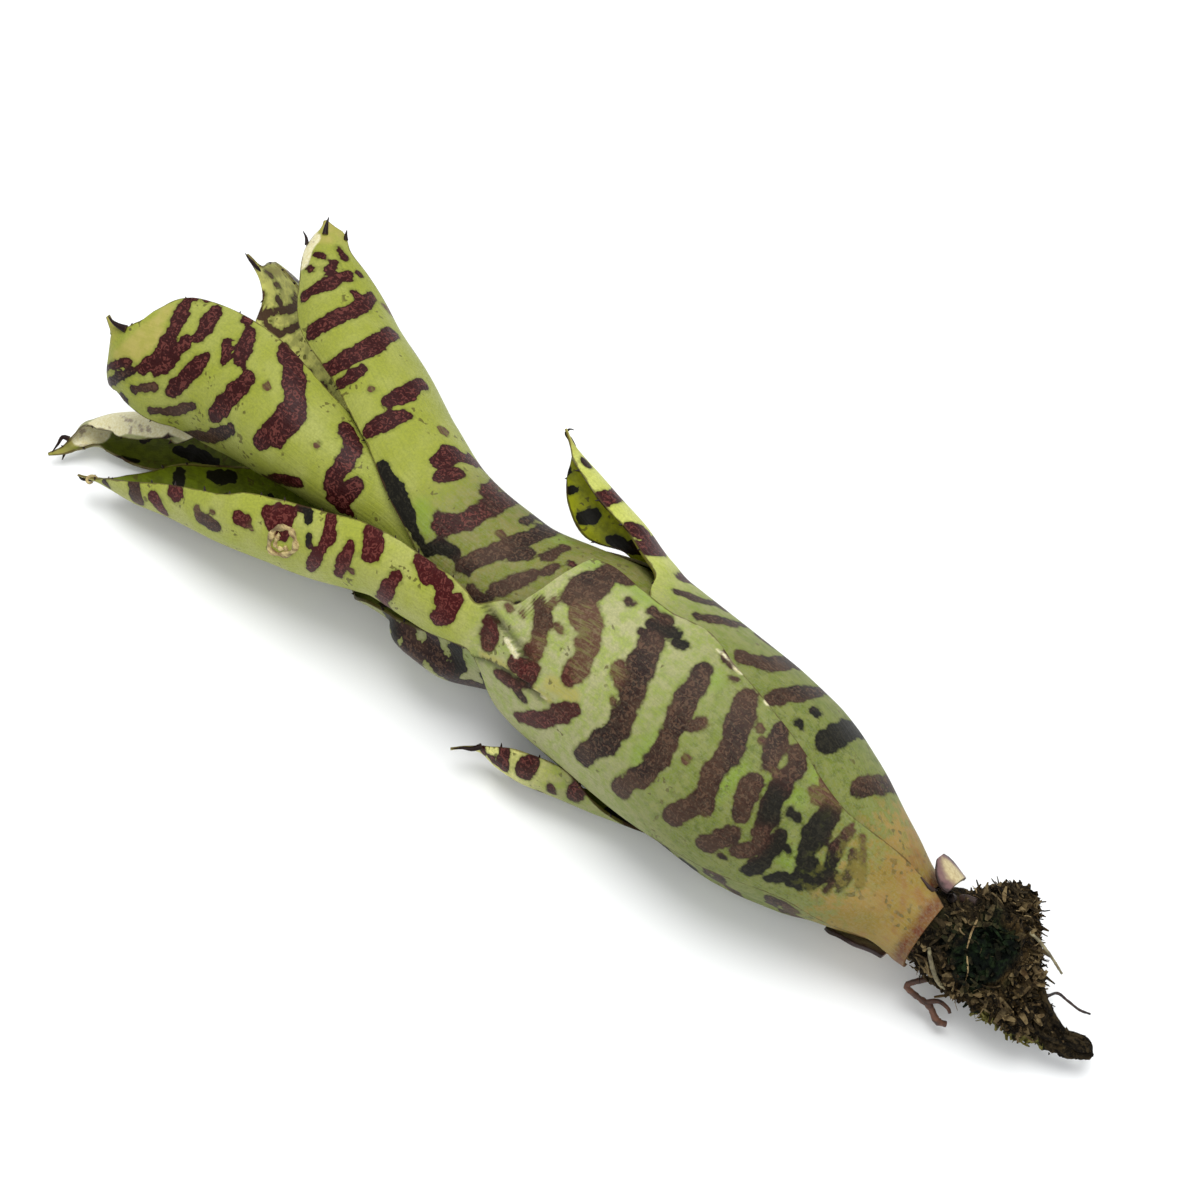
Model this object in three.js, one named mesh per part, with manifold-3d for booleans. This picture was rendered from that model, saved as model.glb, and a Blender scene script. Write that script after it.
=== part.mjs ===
// A small tubular bromeliad, pulled up with its root clump and lying on its side.
// Millimetres, +Z up. +X runs from the roots to the leaf tips, the origin is on the ground
// under the belly of the tube that the leaf sheaths make.
import * as THREE from 'three';
import { mergeVertices } from 'three/addons/utils/BufferGeometryUtils.js';
import Module from 'manifold-3d';

const wasm = await Module();
wasm.setup();

const DEG = Math.PI / 180;

// The tube of overlapping sheaths: outer radius and axis height along X
const TUBE_X = [-46, -42, -38, -33, -27, -20, -15, -10, 0, 25, 45, 60, 75, 100];
const TUBE_RADIUS = [7.3, 7.8, 8.7, 10.9, 13.3, 15.8, 17.4, 18.4, 19.0, 19.1, 17.8, 17.6, 17.0, 16.5];
const AXIS_X = [-46, -38, -30, -20, -10, 0, 30, 40, 60, 100];
const AXIS_Z = [14.3, 15.2, 16.2, 17.2, 17.8, 18.0, 18.0, 18.2, 18.8, 19.0];
const AXIS_Y = [1.0, 0.6, 0.6, 0.5, 0.5, 0.3, 0.0, 0.0, 0.0, 0.0];

// The inner leaves lean to +Y past the mouth
const LEAN_X = [28, 36, 46, 56, 100];
const LEAN_Y = [0.0, 1.6, 3.6, 4.0, 4.0];
const LEAN_FROM_LAYER = 3;

// One sheath inside the other, this much smaller in radius
const LAYER_STEP = 1.1;
const BLADE_THICKNESS = 0.7;
const MARGIN_THICKNESS = 0.6;
const TIGHTEST_CURL = 1.25;

// Places along X where every sheath has a row of points, so that neighbours run parallel
const STATIONS = [-42, -40, -38, -36, -33, -30.5, -28, -25.5, -21, -16, -10, -3, 6, 14, 22, 28, 33, 38, 44, 50];
const TIP_CROWDING = 1.35;

// Marginal spines
const SPINE_HALF_BASE = 0.5;
const SPINE_LENGTH = 1.0;
const SPINE_LEAN = 0.45;

// Colours
const LEAF_GREEN = 0x9aa653;
const SHEATH_GREEN = 0x8c9656;
const LEAF_PALE = 0xa7aa74;
const HEART_GREEN = 0x6f7d3c;
const OLD_LEAF_TAN = 0xb39a63;
const STEM_TAN = 0x8f7443;
const CLUMP_BROWN = 0x2b2417;
const ROOT_RED = 0x6b3a24;
const ROOT_DARK = 0x2a1a15;
const STRAW_PALE = 0xb5ab86;

// Each leaf. A sheath row is [x, angle of the middle, arc to the minus side, arc to the plus side],
// with angles in degrees round the tube from straight up (0) to the near side (90).
// A lift is [x0, x1, x2, x3, t0, t1, t2, t3, amount]: outwards between the ramps in X and in angle.
// A blade row is [x, centre y, centre z, radius, facing angle, arc minus, arc plus].
const LEAVES = {
  leaf_outer_left: {
    layer: 0, columns: 10, rows: 12, spines: 11, colour: SHEATH_GREEN,
    sheath: [
      [-43, 50, 54, 76], [-41.6, 49, 56, 64], [-40.2, 48, 57, 48], [-36, 46, 54, 38], [-31, 44, 46, 40],
      [-24, 42, 38, 36], [-13, 42, 45, 42], [-5, 42, 50, 48], [2, 42, 54, 56], [9, 42, 60, 63], [16, 43, 56, 64],
      [22, 44, 57, 62], [28, 47, 60, 57], [30.5, 49, 60, 50], [32, 50, 48, 45], [33.5, 50, 31, 38], [35.5, 50, 18, 27],
    ],
    lift: [[20, 32, 60, 61, 32, 46, 62, 78, 0.8]],
    blade: [
      [39.4, 6.8, 22.4, 12.2, 50, 19, 18], [44, 9.5, 24.3, 9.2, 52, 34, 33], [52.8, 10.9, 24.3, 8.3, 57, 46, 60],
      [62.0, 11.7, 23.9, 8.5, 69, 55, 70], [68, 13.0, 22.6, 8.9, 86, 66, 78], [74.5, 14.6, 20.8, 9.4, 108, 80, 96],
      [82, 16.4, 18.4, 9.2, 122, 90, 122], [90.6, 19.0, 15.7, 8.1, 125, 90, 138], [102.6, 22.4, 12.0, 6.0, 125, 86, 136],
      [110.4, 25.4, 9.7, 4.4, 122, 76, 126], [115.4, 27.3, 8.2, 2.8, 120, 66, 104], [118.6, 29.0, 7.2, 1.4, 118, 50, 70],
      [122.1, 31.2, 6.8, 0.5, 118, 36, 36],
    ],
  },
  leaf_low_left: {
    layer: 1, columns: 10, rows: 10, spines: 8, colour: LEAF_GREEN,
    sheath: [
      [-42, 142, 120, 120], [-34, 145, 90, 90], [-24, 148, 80, 75], [-14, 150, 76, 65], [-5, 149, 64, 54],
      [1, 145, 46, 42],
    ],
    lift: [[-30, -22, 60, 61, 112, 128, 300, 301, 1.1]],
    blade: [
      [5, 7.3, 10.7, 10.0, 126, 18, 34], [10, 12.0, 9.4, 7.0, 116, 34, 50], [17.4, 15.5, 8.7, 5.4, 106, 62, 62],
      [24.2, 18.2, 8.0, 4.4, 103, 65, 65], [28.7, 19.8, 7.2, 3.2, 100, 60, 60], [32.1, 21.3, 6.6, 1.9, 98, 45, 45],
      [34.2, 23.4, 6.3, 0.8, 96, 36, 36], [35.9, 25.5, 6.2, 0.5, 96, 36, 36],
    ],
  },
  leaf_right_spur: {
    layer: 2, columns: 10, rows: 10, spines: 8, colour: LEAF_GREEN,
    sheath: [
      [-40, -75, 130, 130], [-30, -75, 95, 110], [-5, -75, 75, 90], [10, -75, 70, 80], [19, -74, 62, 60],
    ],
    lift: [[-30, -22, 60, 61, -400, -399, -75, -45, 0.4]],
    blade: [
      [26, -3.8, 19.7, 14.0, -70, 40, 40], [32.7, -12.7, 24.5, 5.9, -80, 74, 70], [39.8, -14.3, 25.5, 5.3, -79, 120, 74],
      [44.7, -15.8, 26.5, 4.5, -76, 120, 70], [48.3, -17.6, 27.5, 3.1, -70, 108, 66], [50.9, -19.7, 28.6, 1.4, -64, 50, 50],
      [53.4, -21.5, 29.9, 0.5, -60, 36, 36],
    ],
  },
  leaf_floor: {
    layer: 3, columns: 12, rows: 12, spines: 11, colour: LEAF_PALE,
    sheath: [[-38, 200, 130, 130], [-28, 197, 120, 115], [15, 185, 105, 110], [38, 185, 101, 91], [50, 187, 95, 69]],
    lift: [[12, 18, 36, 46, 125, 150, 190, 203, 3.3], [34, 46, 80, 81, 76, 90, 124, 160, 3.0]],
    blade: [
      [62, 7.6, 16.8, 14.4, 188, 78, 44], [72, 8.0, 15.2, 13.2, 185, 60, 43], [88, 9.2, 12.5, 11.0, 186, 24, 46],
      [101, 12.2, 9.9, 8.6, 196, 10, 60], [108, 14.0, 8.9, 7.9, 215, 28, 108], [114, 15.6, 7.9, 7.0, 235, 62, 152],
      [120.5, 19.2, 6.2, 5.6, 246, 92, 150], [126.5, 22.3, 4.7, 4.2, 250, 112, 146], [128.8, 24.9, 4.1, 3.1, 250, 112, 145],
      [129.8, 27.4, 3.7, 1.6, 245, 90, 105], [130.5, 29.2, 3.5, 0.9, 240, 60, 60], [132.2, 31.4, 3.0, 0.5, 240, 36, 36],
    ],
  },
  leaf_upper_right: {
    layer: 4, columns: 12, rows: 12, spines: 11, colour: LEAF_GREEN,
    sheath: [[-36, -30, 130, 130], [-24, -30, 115, 120], [15, -30, 110, 118], [42, -28, 95, 104]],
    lift: [],
    blade: [
      [52, 2.6, 20.0, 11.9, -25, 84, 80], [61.5, 1.4, 21.2, 11.2, -23, 74, 62], [73.5, -2.6, 21.4, 11.0, -22, 72, 51],
      [85.7, -7.9, 21.7, 10.7, -22, 72, 55], [96.5, -12.0, 22.0, 10.2, -21, 56, 60], [104.2, -16.9, 23.4, 8.6, -18, 38, 56],
      [109, -20.5, 25.7, 6.3, -12, 34, 50], [111.4, -23.3, 27.6, 4.3, -6, 46, 50], [112.6, -24.5, 29.9, 2.2, -3, 34, 34],
      [113.8, -25.3, 31.6, 0.5, 0, 36, 36],
    ],
  },
  leaf_back_right: {
    layer: 5, columns: 12, rows: 12, spines: 11, colour: HEART_GREEN,
    sheath: [[-33, -105, 130, 130], [-15, -105, 112, 112], [20, -105, 102, 102], [52, -105, 92, 82]],
    lift: [],
    blade: [
      [64, 1.9, 18.6, 10.8, -104, 80, 66], [73.4, -1.1, 18.5, 10.3, -104, 78, 66], [90.7, -1.9, 18.4, 12.2, -106, 66, 60],
      [107.8, -4.3, 18.5, 12.8, -108, 76, 58], [115.5, -6.2, 18.2, 12.2, -109, 74, 54],
      [119.5, -8.2, 17.6, 10.6, -110, 62, 52], [122.6, -12.2, 16.4, 6.9, -110, 50, 52],
      [126.5, -17.0, 14.6, 1.8, -110, 50, 50], [130.8, -18.7, 14.6, 0.5, -110, 36, 36],
    ],
  },
  leaf_upper_left: {
    layer: 6, columns: 10, rows: 13, spines: 12, colour: LEAF_GREEN,
    sheath: [[-30.5, 35, 130, 130], [-12, 35, 115, 115], [25, 35, 108, 108], [50, 36, 100, 100]],
    lift: [],
    blade: [
      [57, 3.6, 19.9, 9.6, 36, 96, 90], [64.4, 3.7, 21.3, 8.0, 36, 94, 80], [78.8, 5.5, 22.8, 8.1, 36, 86, 88],
      [90.1, 5.0, 23.4, 10.5, 36, 67, 84], [101.4, 2.2, 20.9, 13.8, 36, 50, 65], [112.0, 3.0, 19.5, 15.2, 36, 42, 54],
      [116.5, 4.6, 18.7, 16.0, 36, 27, 47], [119.3, 6.8, 20.2, 14.0, 36, 17, 48], [121.2, 8.3, 21.7, 12.0, 36, 13, 51],
      [122.8, 8.0, 21.4, 12.0, 36, 7, 52], [123.5, 13.2, 28.6, 3.2, 36, 16, 48], [124.5, 13.4, 29.2, 2.4, 36, 16, 18], [126.8, 12.7, 29.7, 2.0, 36, 12, 12],
    ],
  },
  leaf_heart_a: {
    layer: 7, columns: 10, rows: 5, spines: 4, colour: HEART_GREEN,
    sheath: [[-28, 170, 130, 130], [-10, 170, 115, 115], [25, 170, 108, 108], [42, 170, 104, 104]],
    lift: [],
    blade: [
      [54, 4.0, 18.8, 7.8, 170, 96, 96], [66, 4.3, 20.2, 5.4, 172, 92, 92], [77, 4.8, 21.2, 4.6, 174, 84, 84],
      [84, 5.0, 21.6, 3.2, 174, 60, 60], [87, 5.0, 21.6, 1.3, 174, 45, 45], [91, 5.2, 21.8, 0.5, 174, 36, 36],
    ],
  },
  leaf_heart_b: {
    layer: 8, columns: 10, rows: 5, spines: 4, colour: HEART_GREEN,
    sheath: [[-25.5, -55, 130, 130], [-8, -55, 120, 120], [25, -55, 115, 115], [40, -55, 112, 112]],
    lift: [],
    blade: [
      [52, 4.0, 18.8, 6.2, -55, 104, 104], [62, 4.0, 19.8, 4.0, -55, 96, 96], [70, 4.0, 20.6, 2.9, -55, 84, 84],
      [74.5, 4.0, 21.2, 1.5, -55, 50, 50], [78.5, 4.0, 22.0, 0.5, -55, 36, 36],
    ],
  },
};

// Two torn old leaf bases, outside the live sheaths
const OLD_BASES = {
  old_base_upper: {
    layer: -1, columns: 6, rows: 0, spines: 0, colour: OLD_LEAF_TAN,
    sheath: [[-43.2, -42, 28, 26], [-41.6, -42, 29, 28], [-40.2, -42, 26, 27], [-38.9, -41, 18, 20], [-37.8, -40, 8, 8]],
    lift: [],
    blade: [],
  },
  old_base_lower: {
    layer: 0, columns: 6, rows: 0, spines: 0, colour: OLD_LEAF_TAN,
    sheath: [[-39.6, 134, 28, 34], [-38, 134, 31, 34], [-35, 135, 32, 30], [-32, 136, 24, 22], [-29.6, 138, 8, 8]],
    lift: [[-60, -59, -36, -32, 60, 61, 104, 130, 0.9]],
    blade: [],
  },
};

// The stem along the tube axis: [x, radius], with a blunt foot inside the clump
const STEM = [
  [-50.4, 2.6], [-49.8, 3.4], [-46, 3.6], [-44.6, 3.9], [-43.6, 4.8], [-43, 5.5], [-42, 5.4], [-40, 4.8], [-38, 4.2], [-36, 3.9],
  [-33, 4.1], [-30.5, 4.0], [-28, 3.9], [-25.5, 3.2], [-22, 2.2], [-19.5, 1.0],
];
const STEM_SIDES = 16;
const SOCKET_GAP = 0.45;

// The root clump, ring by ring from the sheaths to the tail: [x, y, z, half width, half height]
const CLUMP = [
  [-43.8, -0.2, 14.2, 6.9, 6.8], [-45.2, -1.4, 13.8, 8.2, 7.6], [-47.2, -2.8, 13.0, 9.4, 8.3], [-49.4, -3.8, 12.6, 10.1, 8.6],
  [-51.6, -4.3, 12.1, 10.3, 8.4], [-53.8, -3.9, 11.5, 8.9, 7.9], [-56.0, -2.9, 10.6, 8.0, 7.1], [-58.2, -1.8, 9.6, 6.5, 6.1],
  [-60.4, -0.8, 8.5, 4.8, 4.9], [-62.8, -0.3, 7.3, 3.6, 3.6], [-65.2, -0.5, 6.2, 2.8, 2.5], [-67.6, -1.0, 5.3, 2.3, 1.8],
  [-69.8, -1.6, 4.8, 1.9, 1.4], [-71.4, -2.1, 4.9, 1.2, 1.0], [-72.3, -2.3, 5.3, 0.6, 0.5],
];
const CLUMP_SIDES = 13;
const CLUMP_RELIEF = 0.11;
const CLUMP_LUMPS = 13;
const LUMP_SIZE = [1.3, 2.3];
const CLUMP_SEED = 11;

// Roots and straws: points of the path, then the radius at each point
const STRANDS = {
  root_reddish: {
    colour: ROOT_RED, sides: 6, gap: 0.4,
    path: [[-48.6, 3.2, 8.4], [-46.2, 6.0, 8.2], [-44.7, 8.4, 7.4], [-46.6, 8.2, 6.2], [-49.0, 7.7, 5.0], [-51.4, 8.2, 3.4], [-52.4, 7.6, 3.0]],
    radius: [0.55, 0.65, 0.7, 0.8, 0.95, 0.95, 0.8],
  },
  root_dark: {
    colour: ROOT_DARK, sides: 5, gap: 0.4,
    path: [[-58.0, -3.0, 9.8], [-61.9, -4.0, 9.6], [-62.6, -5.1, 9.8], [-64.6, -5.6, 9.0], [-66.9, -5.9, 8.4], [-68.3, -6.6, 8.0]],
    radius: [0.4, 0.42, 0.45, 0.42, 0.4, 0.38],
  },
  straw_near: {
    colour: STRAW_PALE, sides: 5, gap: 0.4,
    path: [[-44.9, 5.6, 18.6], [-46.6, 6.5, 16.2], [-48.6, 6.8, 13.2], [-49.9, 5.8, 10.8], [-50.6, 4.4, 9.4]],
    radius: [0.42, 0.5, 0.5, 0.45, 0.4],
  },
  straw_far: {
    colour: STRAW_PALE, sides: 5, gap: 0.4,
    path: [[-51.2, -8.8, 14.4], [-53.8, -9.8, 16.0], [-56.8, -9.2, 15.0], [-60.3, -8.2, 13.0], [-62.6, -7.4, 11.2]],
    radius: [0.4, 0.45, 0.45, 0.42, 0.38],
  },
};

// A cubic through the values that makes no new highs or lows
function slopes(xs, ys) {
  const last = xs.length - 1;
  const step = (i) => (ys[i + 1] - ys[i]) / (xs[i + 1] - xs[i]);
  return xs.map((_, i) => {
    if (i === 0) return step(0);
    if (i === last) return step(last - 1);
    const before = step(i - 1);
    const after = step(i);
    if (before * after <= 0) return 0;
    const wide = xs[i] - xs[i - 1];
    const next = xs[i + 1] - xs[i];
    const w1 = 2 * next + wide;
    const w2 = next + 2 * wide;
    return (w1 + w2) / (w1 / before + w2 / after);
  });
}

function span(xs, x) {
  let k = 0;
  while (k < xs.length - 2 && x >= xs[k + 1]) k += 1;
  return k;
}

function hermite(y0, y1, m0, m1, h, t) {
  const t2 = t * t;
  const t3 = t2 * t;
  return y0 * (2 * t3 - 3 * t2 + 1) + h * m0 * (t3 - 2 * t2 + t) + y1 * (3 * t2 - 2 * t3) + h * m1 * (t3 - t2);
}

function smooth(xs, ys) {
  const m = slopes(xs, ys);
  return (x) => {
    const k = span(xs, x);
    const h = xs[k + 1] - xs[k];
    const t = THREE.MathUtils.clamp((x - xs[k]) / h, 0, 1);
    return hermite(ys[k], ys[k + 1], m[k], m[k + 1], h, t);
  };
}

const tubeRadius = smooth(TUBE_X, TUBE_RADIUS);
const axisY = smooth(AXIS_X, AXIS_Y);
const axisZ = smooth(AXIS_X, AXIS_Z);
const lean = smooth(LEAN_X, LEAN_Y);

function ramp(a, b, x) {
  return THREE.MathUtils.smoothstep(x, a, b);
}

function axisAt(x, layer) {
  const shift = layer >= LEAN_FROM_LAYER ? lean(THREE.MathUtils.clamp(x, LEAN_X[0], LEAN_X[4])) : 0;
  return [axisY(x) + shift, axisZ(x)];
}

function liftAt(leaf, x, angle) {
  let sum = 0;
  for (const [x0, x1, x2, x3, t0, t1, t2, t3, amount] of leaf.lift) {
    const along = ramp(x0, x1, x) * (1 - ramp(x2, x3, x));
    const round = ramp(t0, t1, angle) * (1 - ramp(t2, t3, angle));
    sum += amount * along * round;
  }
  return sum;
}

// Distance of a sheath from the axis. Nothing goes below the ground.
function sheathRadius(leaf, x, angle) {
  const [, z] = axisAt(x, leaf.layer);
  const down = Math.max(-Math.cos(angle * DEG), 0.001);
  return Math.min(tubeRadius(x), z / down) - LAYER_STEP * leaf.layer + liftAt(leaf, x, angle);
}

function sheathPoint(leaf, x, angle) {
  const [y, z] = axisAt(x, leaf.layer);
  const r = sheathRadius(leaf, x, angle);
  return new THREE.Vector3(x, y + r * Math.sin(angle * DEG), z + r * Math.cos(angle * DEG));
}

// The rows of a leaf: place of the middle line, facing angle, arcs and half widths
function leafKnots(leaf) {
  const knots = leaf.sheath.map(([x, angle, minus, plus]) => {
    const r = sheathRadius(leaf, x, angle);
    return { place: sheathPoint(leaf, x, angle), values: [angle, minus, plus, r * minus * DEG, r * plus * DEG, 1] };
  });
  for (const [x, y, z, r, angle, minus, plus] of leaf.blade) {
    const place = new THREE.Vector3(x, y + r * Math.sin(angle * DEG), z + r * Math.cos(angle * DEG));
    knots.push({ place, values: [angle, minus, plus, r * minus * DEG, r * plus * DEG, 0] });
  }
  return knots;
}

function middleLine(knots) {
  const s = [0];
  for (let i = 1; i < knots.length; i += 1) s.push(s[i - 1] + knots[i].place.distanceTo(knots[i - 1].place));
  const last = s.length - 1;
  const step = (i) => knots[i + 1].place.clone().sub(knots[i].place).divideScalar(s[i + 1] - s[i]);
  const tangents = knots.map((_, i) => {
    if (i === 0) return step(0);
    if (i === last) return step(last - 1);
    const before = s[i] - s[i - 1];
    const after = s[i + 1] - s[i];
    return step(i - 1).multiplyScalar(after).add(step(i).multiplyScalar(before)).divideScalar(before + after);
  });
  const at = (u) => {
    const k = span(s, u);
    const h = s[k + 1] - s[k];
    const t = (u - s[k]) / h;
    const one = (axis) => hermite(knots[k].place[axis], knots[k + 1].place[axis], tangents[k][axis], tangents[k + 1][axis], h, t);
    return new THREE.Vector3(one('x'), one('y'), one('z'));
  };
  const along = (u) => at(Math.min(u + 0.05, s[last])).sub(at(Math.max(u - 0.05, 0))).normalize();
  return { s, at, along, length: s[last] };
}

function arcAtX(line, x, from, to) {
  let low = from;
  let high = to;
  for (let i = 0; i < 40; i += 1) {
    const mid = (low + high) / 2;
    if (line.at(mid).x < x) low = mid;
    else high = mid;
  }
  return (low + high) / 2;
}

// Rows at the shared stations in the sheath, then evenly to the tip and closer at its end
function rowPlaces(leaf, line) {
  const first = leaf.sheath[0][0];
  const last = leaf.sheath[leaf.sheath.length - 1][0];
  const end = line.s[leaf.sheath.length - 1];
  const rows = [0];
  for (const x of STATIONS) {
    if (x > first + 0.6 && x < last - 1.0) rows.push(arcAtX(line, x, 0, end));
  }
  if (leaf.rows === 0) rows.push(end);
  for (let i = 0; i <= leaf.rows && leaf.rows > 0; i += 1) {
    const f = 1 - (1 - i / leaf.rows) ** TIP_CROWDING;
    rows.push(end + (line.length - end) * f);
  }
  return rows;
}

// Outer and inner points of one row, from the minus margin to the plus margin
function leafRow(leaf, line, value, u) {
  const place = line.at(u);
  const [angle, minus, plus, wideMinus, widePlus, sheath] = value.map((f) => f(u));
  const tangent = line.along(u).lerp(new THREE.Vector3(1, 0, 0), sheath).normalize();
  const facing = new THREE.Vector3(0, Math.sin(angle * DEG), Math.cos(angle * DEG));
  facing.addScaledVector(tangent, -facing.dot(tangent)).normalize();
  const side = new THREE.Vector3().crossVectors(facing, tangent);
  const share = ramp(0, 1, sheath);
  const narrow = THREE.MathUtils.clamp(Math.min(wideMinus, widePlus) / 2, 0.85, 1);
  const outer = [];
  const inner = [];
  for (let j = 0; j <= leaf.columns; j += 1) {
    const t = -1 + (2 * j) / leaf.columns;
    const arc = t < 0 ? minus : plus;
    const wide = t < 0 ? wideMinus : widePlus;
    const curl = Math.min(arc * DEG, wide / TIGHTEST_CURL);
    const r = wide / Math.max(curl, 0.001);
    const a = t * curl;
    const blade = place.clone().addScaledVector(side, r * Math.sin(a)).addScaledVector(facing, -r * (1 - Math.cos(a)));
    const bladeOut = facing.clone().multiplyScalar(Math.cos(a)).addScaledVector(side, Math.sin(a));
    const round = angle + t * arc;
    const tube = sheathPoint(leaf, place.x, round);
    const tubeOut = new THREE.Vector3(0, Math.sin(round * DEG), Math.cos(round * DEG));
    const point = blade.lerp(tube, share);
    const out = bladeOut.lerp(tubeOut, share).normalize();
    const thick = THREE.MathUtils.lerp(BLADE_THICKNESS, MARGIN_THICKNESS, t * t) * narrow;
    outer.push(point);
    inner.push(point.clone().addScaledVector(out, -thick));
  }
  return { outer, inner, sheath };
}

function leafRows(leaf) {
  const knots = leafKnots(leaf);
  const line = middleLine(knots);
  const value = [0, 1, 2, 3, 4, 5].map((k) => smooth(line.s, knots.map((knot) => knot.values[k])));
  return rowPlaces(leaf, line).map((u) => leafRow(leaf, line, value, u));
}

class Faces {
  constructor() {
    this.positions = [];
    this.index = [];
  }

  point(v) {
    this.positions.push(v.x, v.y, v.z);
    return this.positions.length / 3 - 1;
  }

  triangle(a, b, c, flip) {
    if (flip) this.index.push(a, c, b);
    else this.index.push(a, b, c);
  }

  quad(a, b, c, d, flip) {
    this.triangle(a, b, c, flip);
    this.triangle(a, c, d, flip);
  }

  volume() {
    const corner = (k) => new THREE.Vector3().fromArray(this.positions, 3 * this.index[k]);
    let sum = 0;
    for (let k = 0; k < this.index.length; k += 3) sum += corner(k).dot(corner(k + 1).cross(corner(k + 2))) / 6;
    return sum;
  }

  geometry() {
    if (this.volume() < 0) this.index.reverse();
    const geometry = new THREE.BufferGeometry();
    geometry.setAttribute('position', new THREE.Float32BufferAttribute(this.positions, 3));
    geometry.setIndex(this.index);
    return geometry;
  }
}

// One marginal spine between two rows: the margin gets two more points and a leaning peak
function addSpine(faces, rows, ids, i, edge, next) {
  const flip = edge === 0;
  const length = rows[i].outer[edge].distanceTo(rows[i + 1].outer[edge]);
  const half = SPINE_HALF_BASE / length;
  const onEdge = (face, f) => rows[i][face][edge].clone().lerp(rows[i + 1][face][edge], f);
  const corners = [onEdge('outer', 0.5 - half), onEdge('outer', 0.5 + half), onEdge('inner', 0.5 + half), onEdge('inner', 0.5 - half)];
  const middle = corners.reduce((sum, v) => sum.add(v), new THREE.Vector3()).divideScalar(4);
  const away = middle.clone().sub(rows[i].inner[next]).normalize();
  const along = corners[1].clone().sub(corners[0]).normalize();
  away.addScaledVector(along, -away.dot(along)).normalize();
  const [p, q, q2, p2] = corners.map((v) => faces.point(v));
  const peak = faces.point(middle.addScaledVector(away, SPINE_LENGTH).addScaledVector(along, SPINE_LEAN));
  const fan = (face, a, b, turned) => {
    const near = ids[i][face][edge];
    const far = ids[i + 1][face][edge];
    faces.triangle(near, a, ids[i][face][next], turned);
    faces.triangle(a, b, ids[i][face][next], turned);
    faces.triangle(b, far, ids[i + 1][face][next], turned);
    faces.triangle(b, ids[i + 1][face][next], ids[i][face][next], turned);
  };
  fan('outer', p, q, !flip);
  fan('inner', p2, q2, flip);
  faces.quad(ids[i].outer[edge], p, p2, ids[i].inner[edge], flip);
  faces.quad(q, ids[i + 1].outer[edge], ids[i + 1].inner[edge], q2, flip);
  faces.triangle(p, q, peak, flip);
  faces.triangle(q, q2, peak, flip);
  faces.triangle(q2, p2, peak, flip);
  faces.triangle(p2, p, peak, flip);
}

function leafGeometry(leaf) {
  const rows = leafRows(leaf);
  const faces = new Faces();
  const ids = rows.map((row) => ({
    outer: row.outer.map((v) => faces.point(v)),
    inner: row.inner.map((v) => faces.point(v)),
  }));
  const last = leaf.columns;
  const end = rows.length - 1;
  for (let i = 0; i < end; i += 1) {
    const spined = leaf.spines > 0 && i >= end - leaf.spines && i < end - 1;
    for (let j = 0; j < last; j += 1) {
      if (spined && (j === 0 || j === last - 1)) continue;
      faces.quad(ids[i].outer[j], ids[i + 1].outer[j], ids[i + 1].outer[j + 1], ids[i].outer[j + 1], false);
      faces.quad(ids[i].inner[j], ids[i + 1].inner[j], ids[i + 1].inner[j + 1], ids[i].inner[j + 1], true);
    }
    if (spined) {
      addSpine(faces, rows, ids, i, 0, 1);
      addSpine(faces, rows, ids, i, last, last - 1);
    } else {
      faces.quad(ids[i].outer[0], ids[i + 1].outer[0], ids[i + 1].inner[0], ids[i].inner[0], true);
      faces.quad(ids[i].outer[last], ids[i + 1].outer[last], ids[i + 1].inner[last], ids[i].inner[last], false);
    }
  }
  for (let j = 0; j < last; j += 1) {
    faces.quad(ids[0].outer[j], ids[0].outer[j + 1], ids[0].inner[j + 1], ids[0].inner[j], false);
    faces.quad(ids[end].outer[j], ids[end].outer[j + 1], ids[end].inner[j + 1], ids[end].inner[j], true);
  }
  return faces.geometry();
}

// Seeded random numbers from 0 to 1
function randomFrom(seed) {
  let state = seed >>> 0;
  return () => {
    state = (state + 0x6d2b79f5) >>> 0;
    let t = Math.imul(state ^ (state >>> 15), 1 | state);
    t = (t + Math.imul(t ^ (t >>> 7), 61 | t)) ^ t;
    return ((t ^ (t >>> 14)) >>> 0) / 4294967296;
  };
}

// A closed body from rings of points with a middle point at each end
function ringBody(rings) {
  const faces = new Faces();
  const ids = rings.map((ring) => ring.map((v) => faces.point(v)));
  const middle = (ring) => ring.reduce((sum, v) => sum.add(v), new THREE.Vector3()).divideScalar(ring.length);
  const sides = rings[0].length;
  const end = rings.length - 1;
  const first = faces.point(middle(rings[0]));
  const last = faces.point(middle(rings[end]));
  for (let k = 0; k < sides; k += 1) {
    const next = (k + 1) % sides;
    for (let i = 0; i < end; i += 1) faces.quad(ids[i][k], ids[i][next], ids[i + 1][next], ids[i + 1][k], false);
    faces.triangle(first, ids[0][next], ids[0][k], false);
    faces.triangle(last, ids[end][k], ids[end][next], false);
  }
  return faces.geometry();
}

function stemGeometry(extra, from, to) {
  const rings = STEM.filter(([x]) => x >= from && x <= to).map(([x, radius]) => {
    const [y, z] = axisAt(x, 0);
    return Array.from({ length: STEM_SIDES }, (_, k) => {
      const a = (2 * Math.PI * k) / STEM_SIDES;
      const r = radius + extra;
      return new THREE.Vector3(x, y + r * Math.sin(a), z - r * Math.cos(a));
    });
  });
  return ringBody(rings);
}

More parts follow.
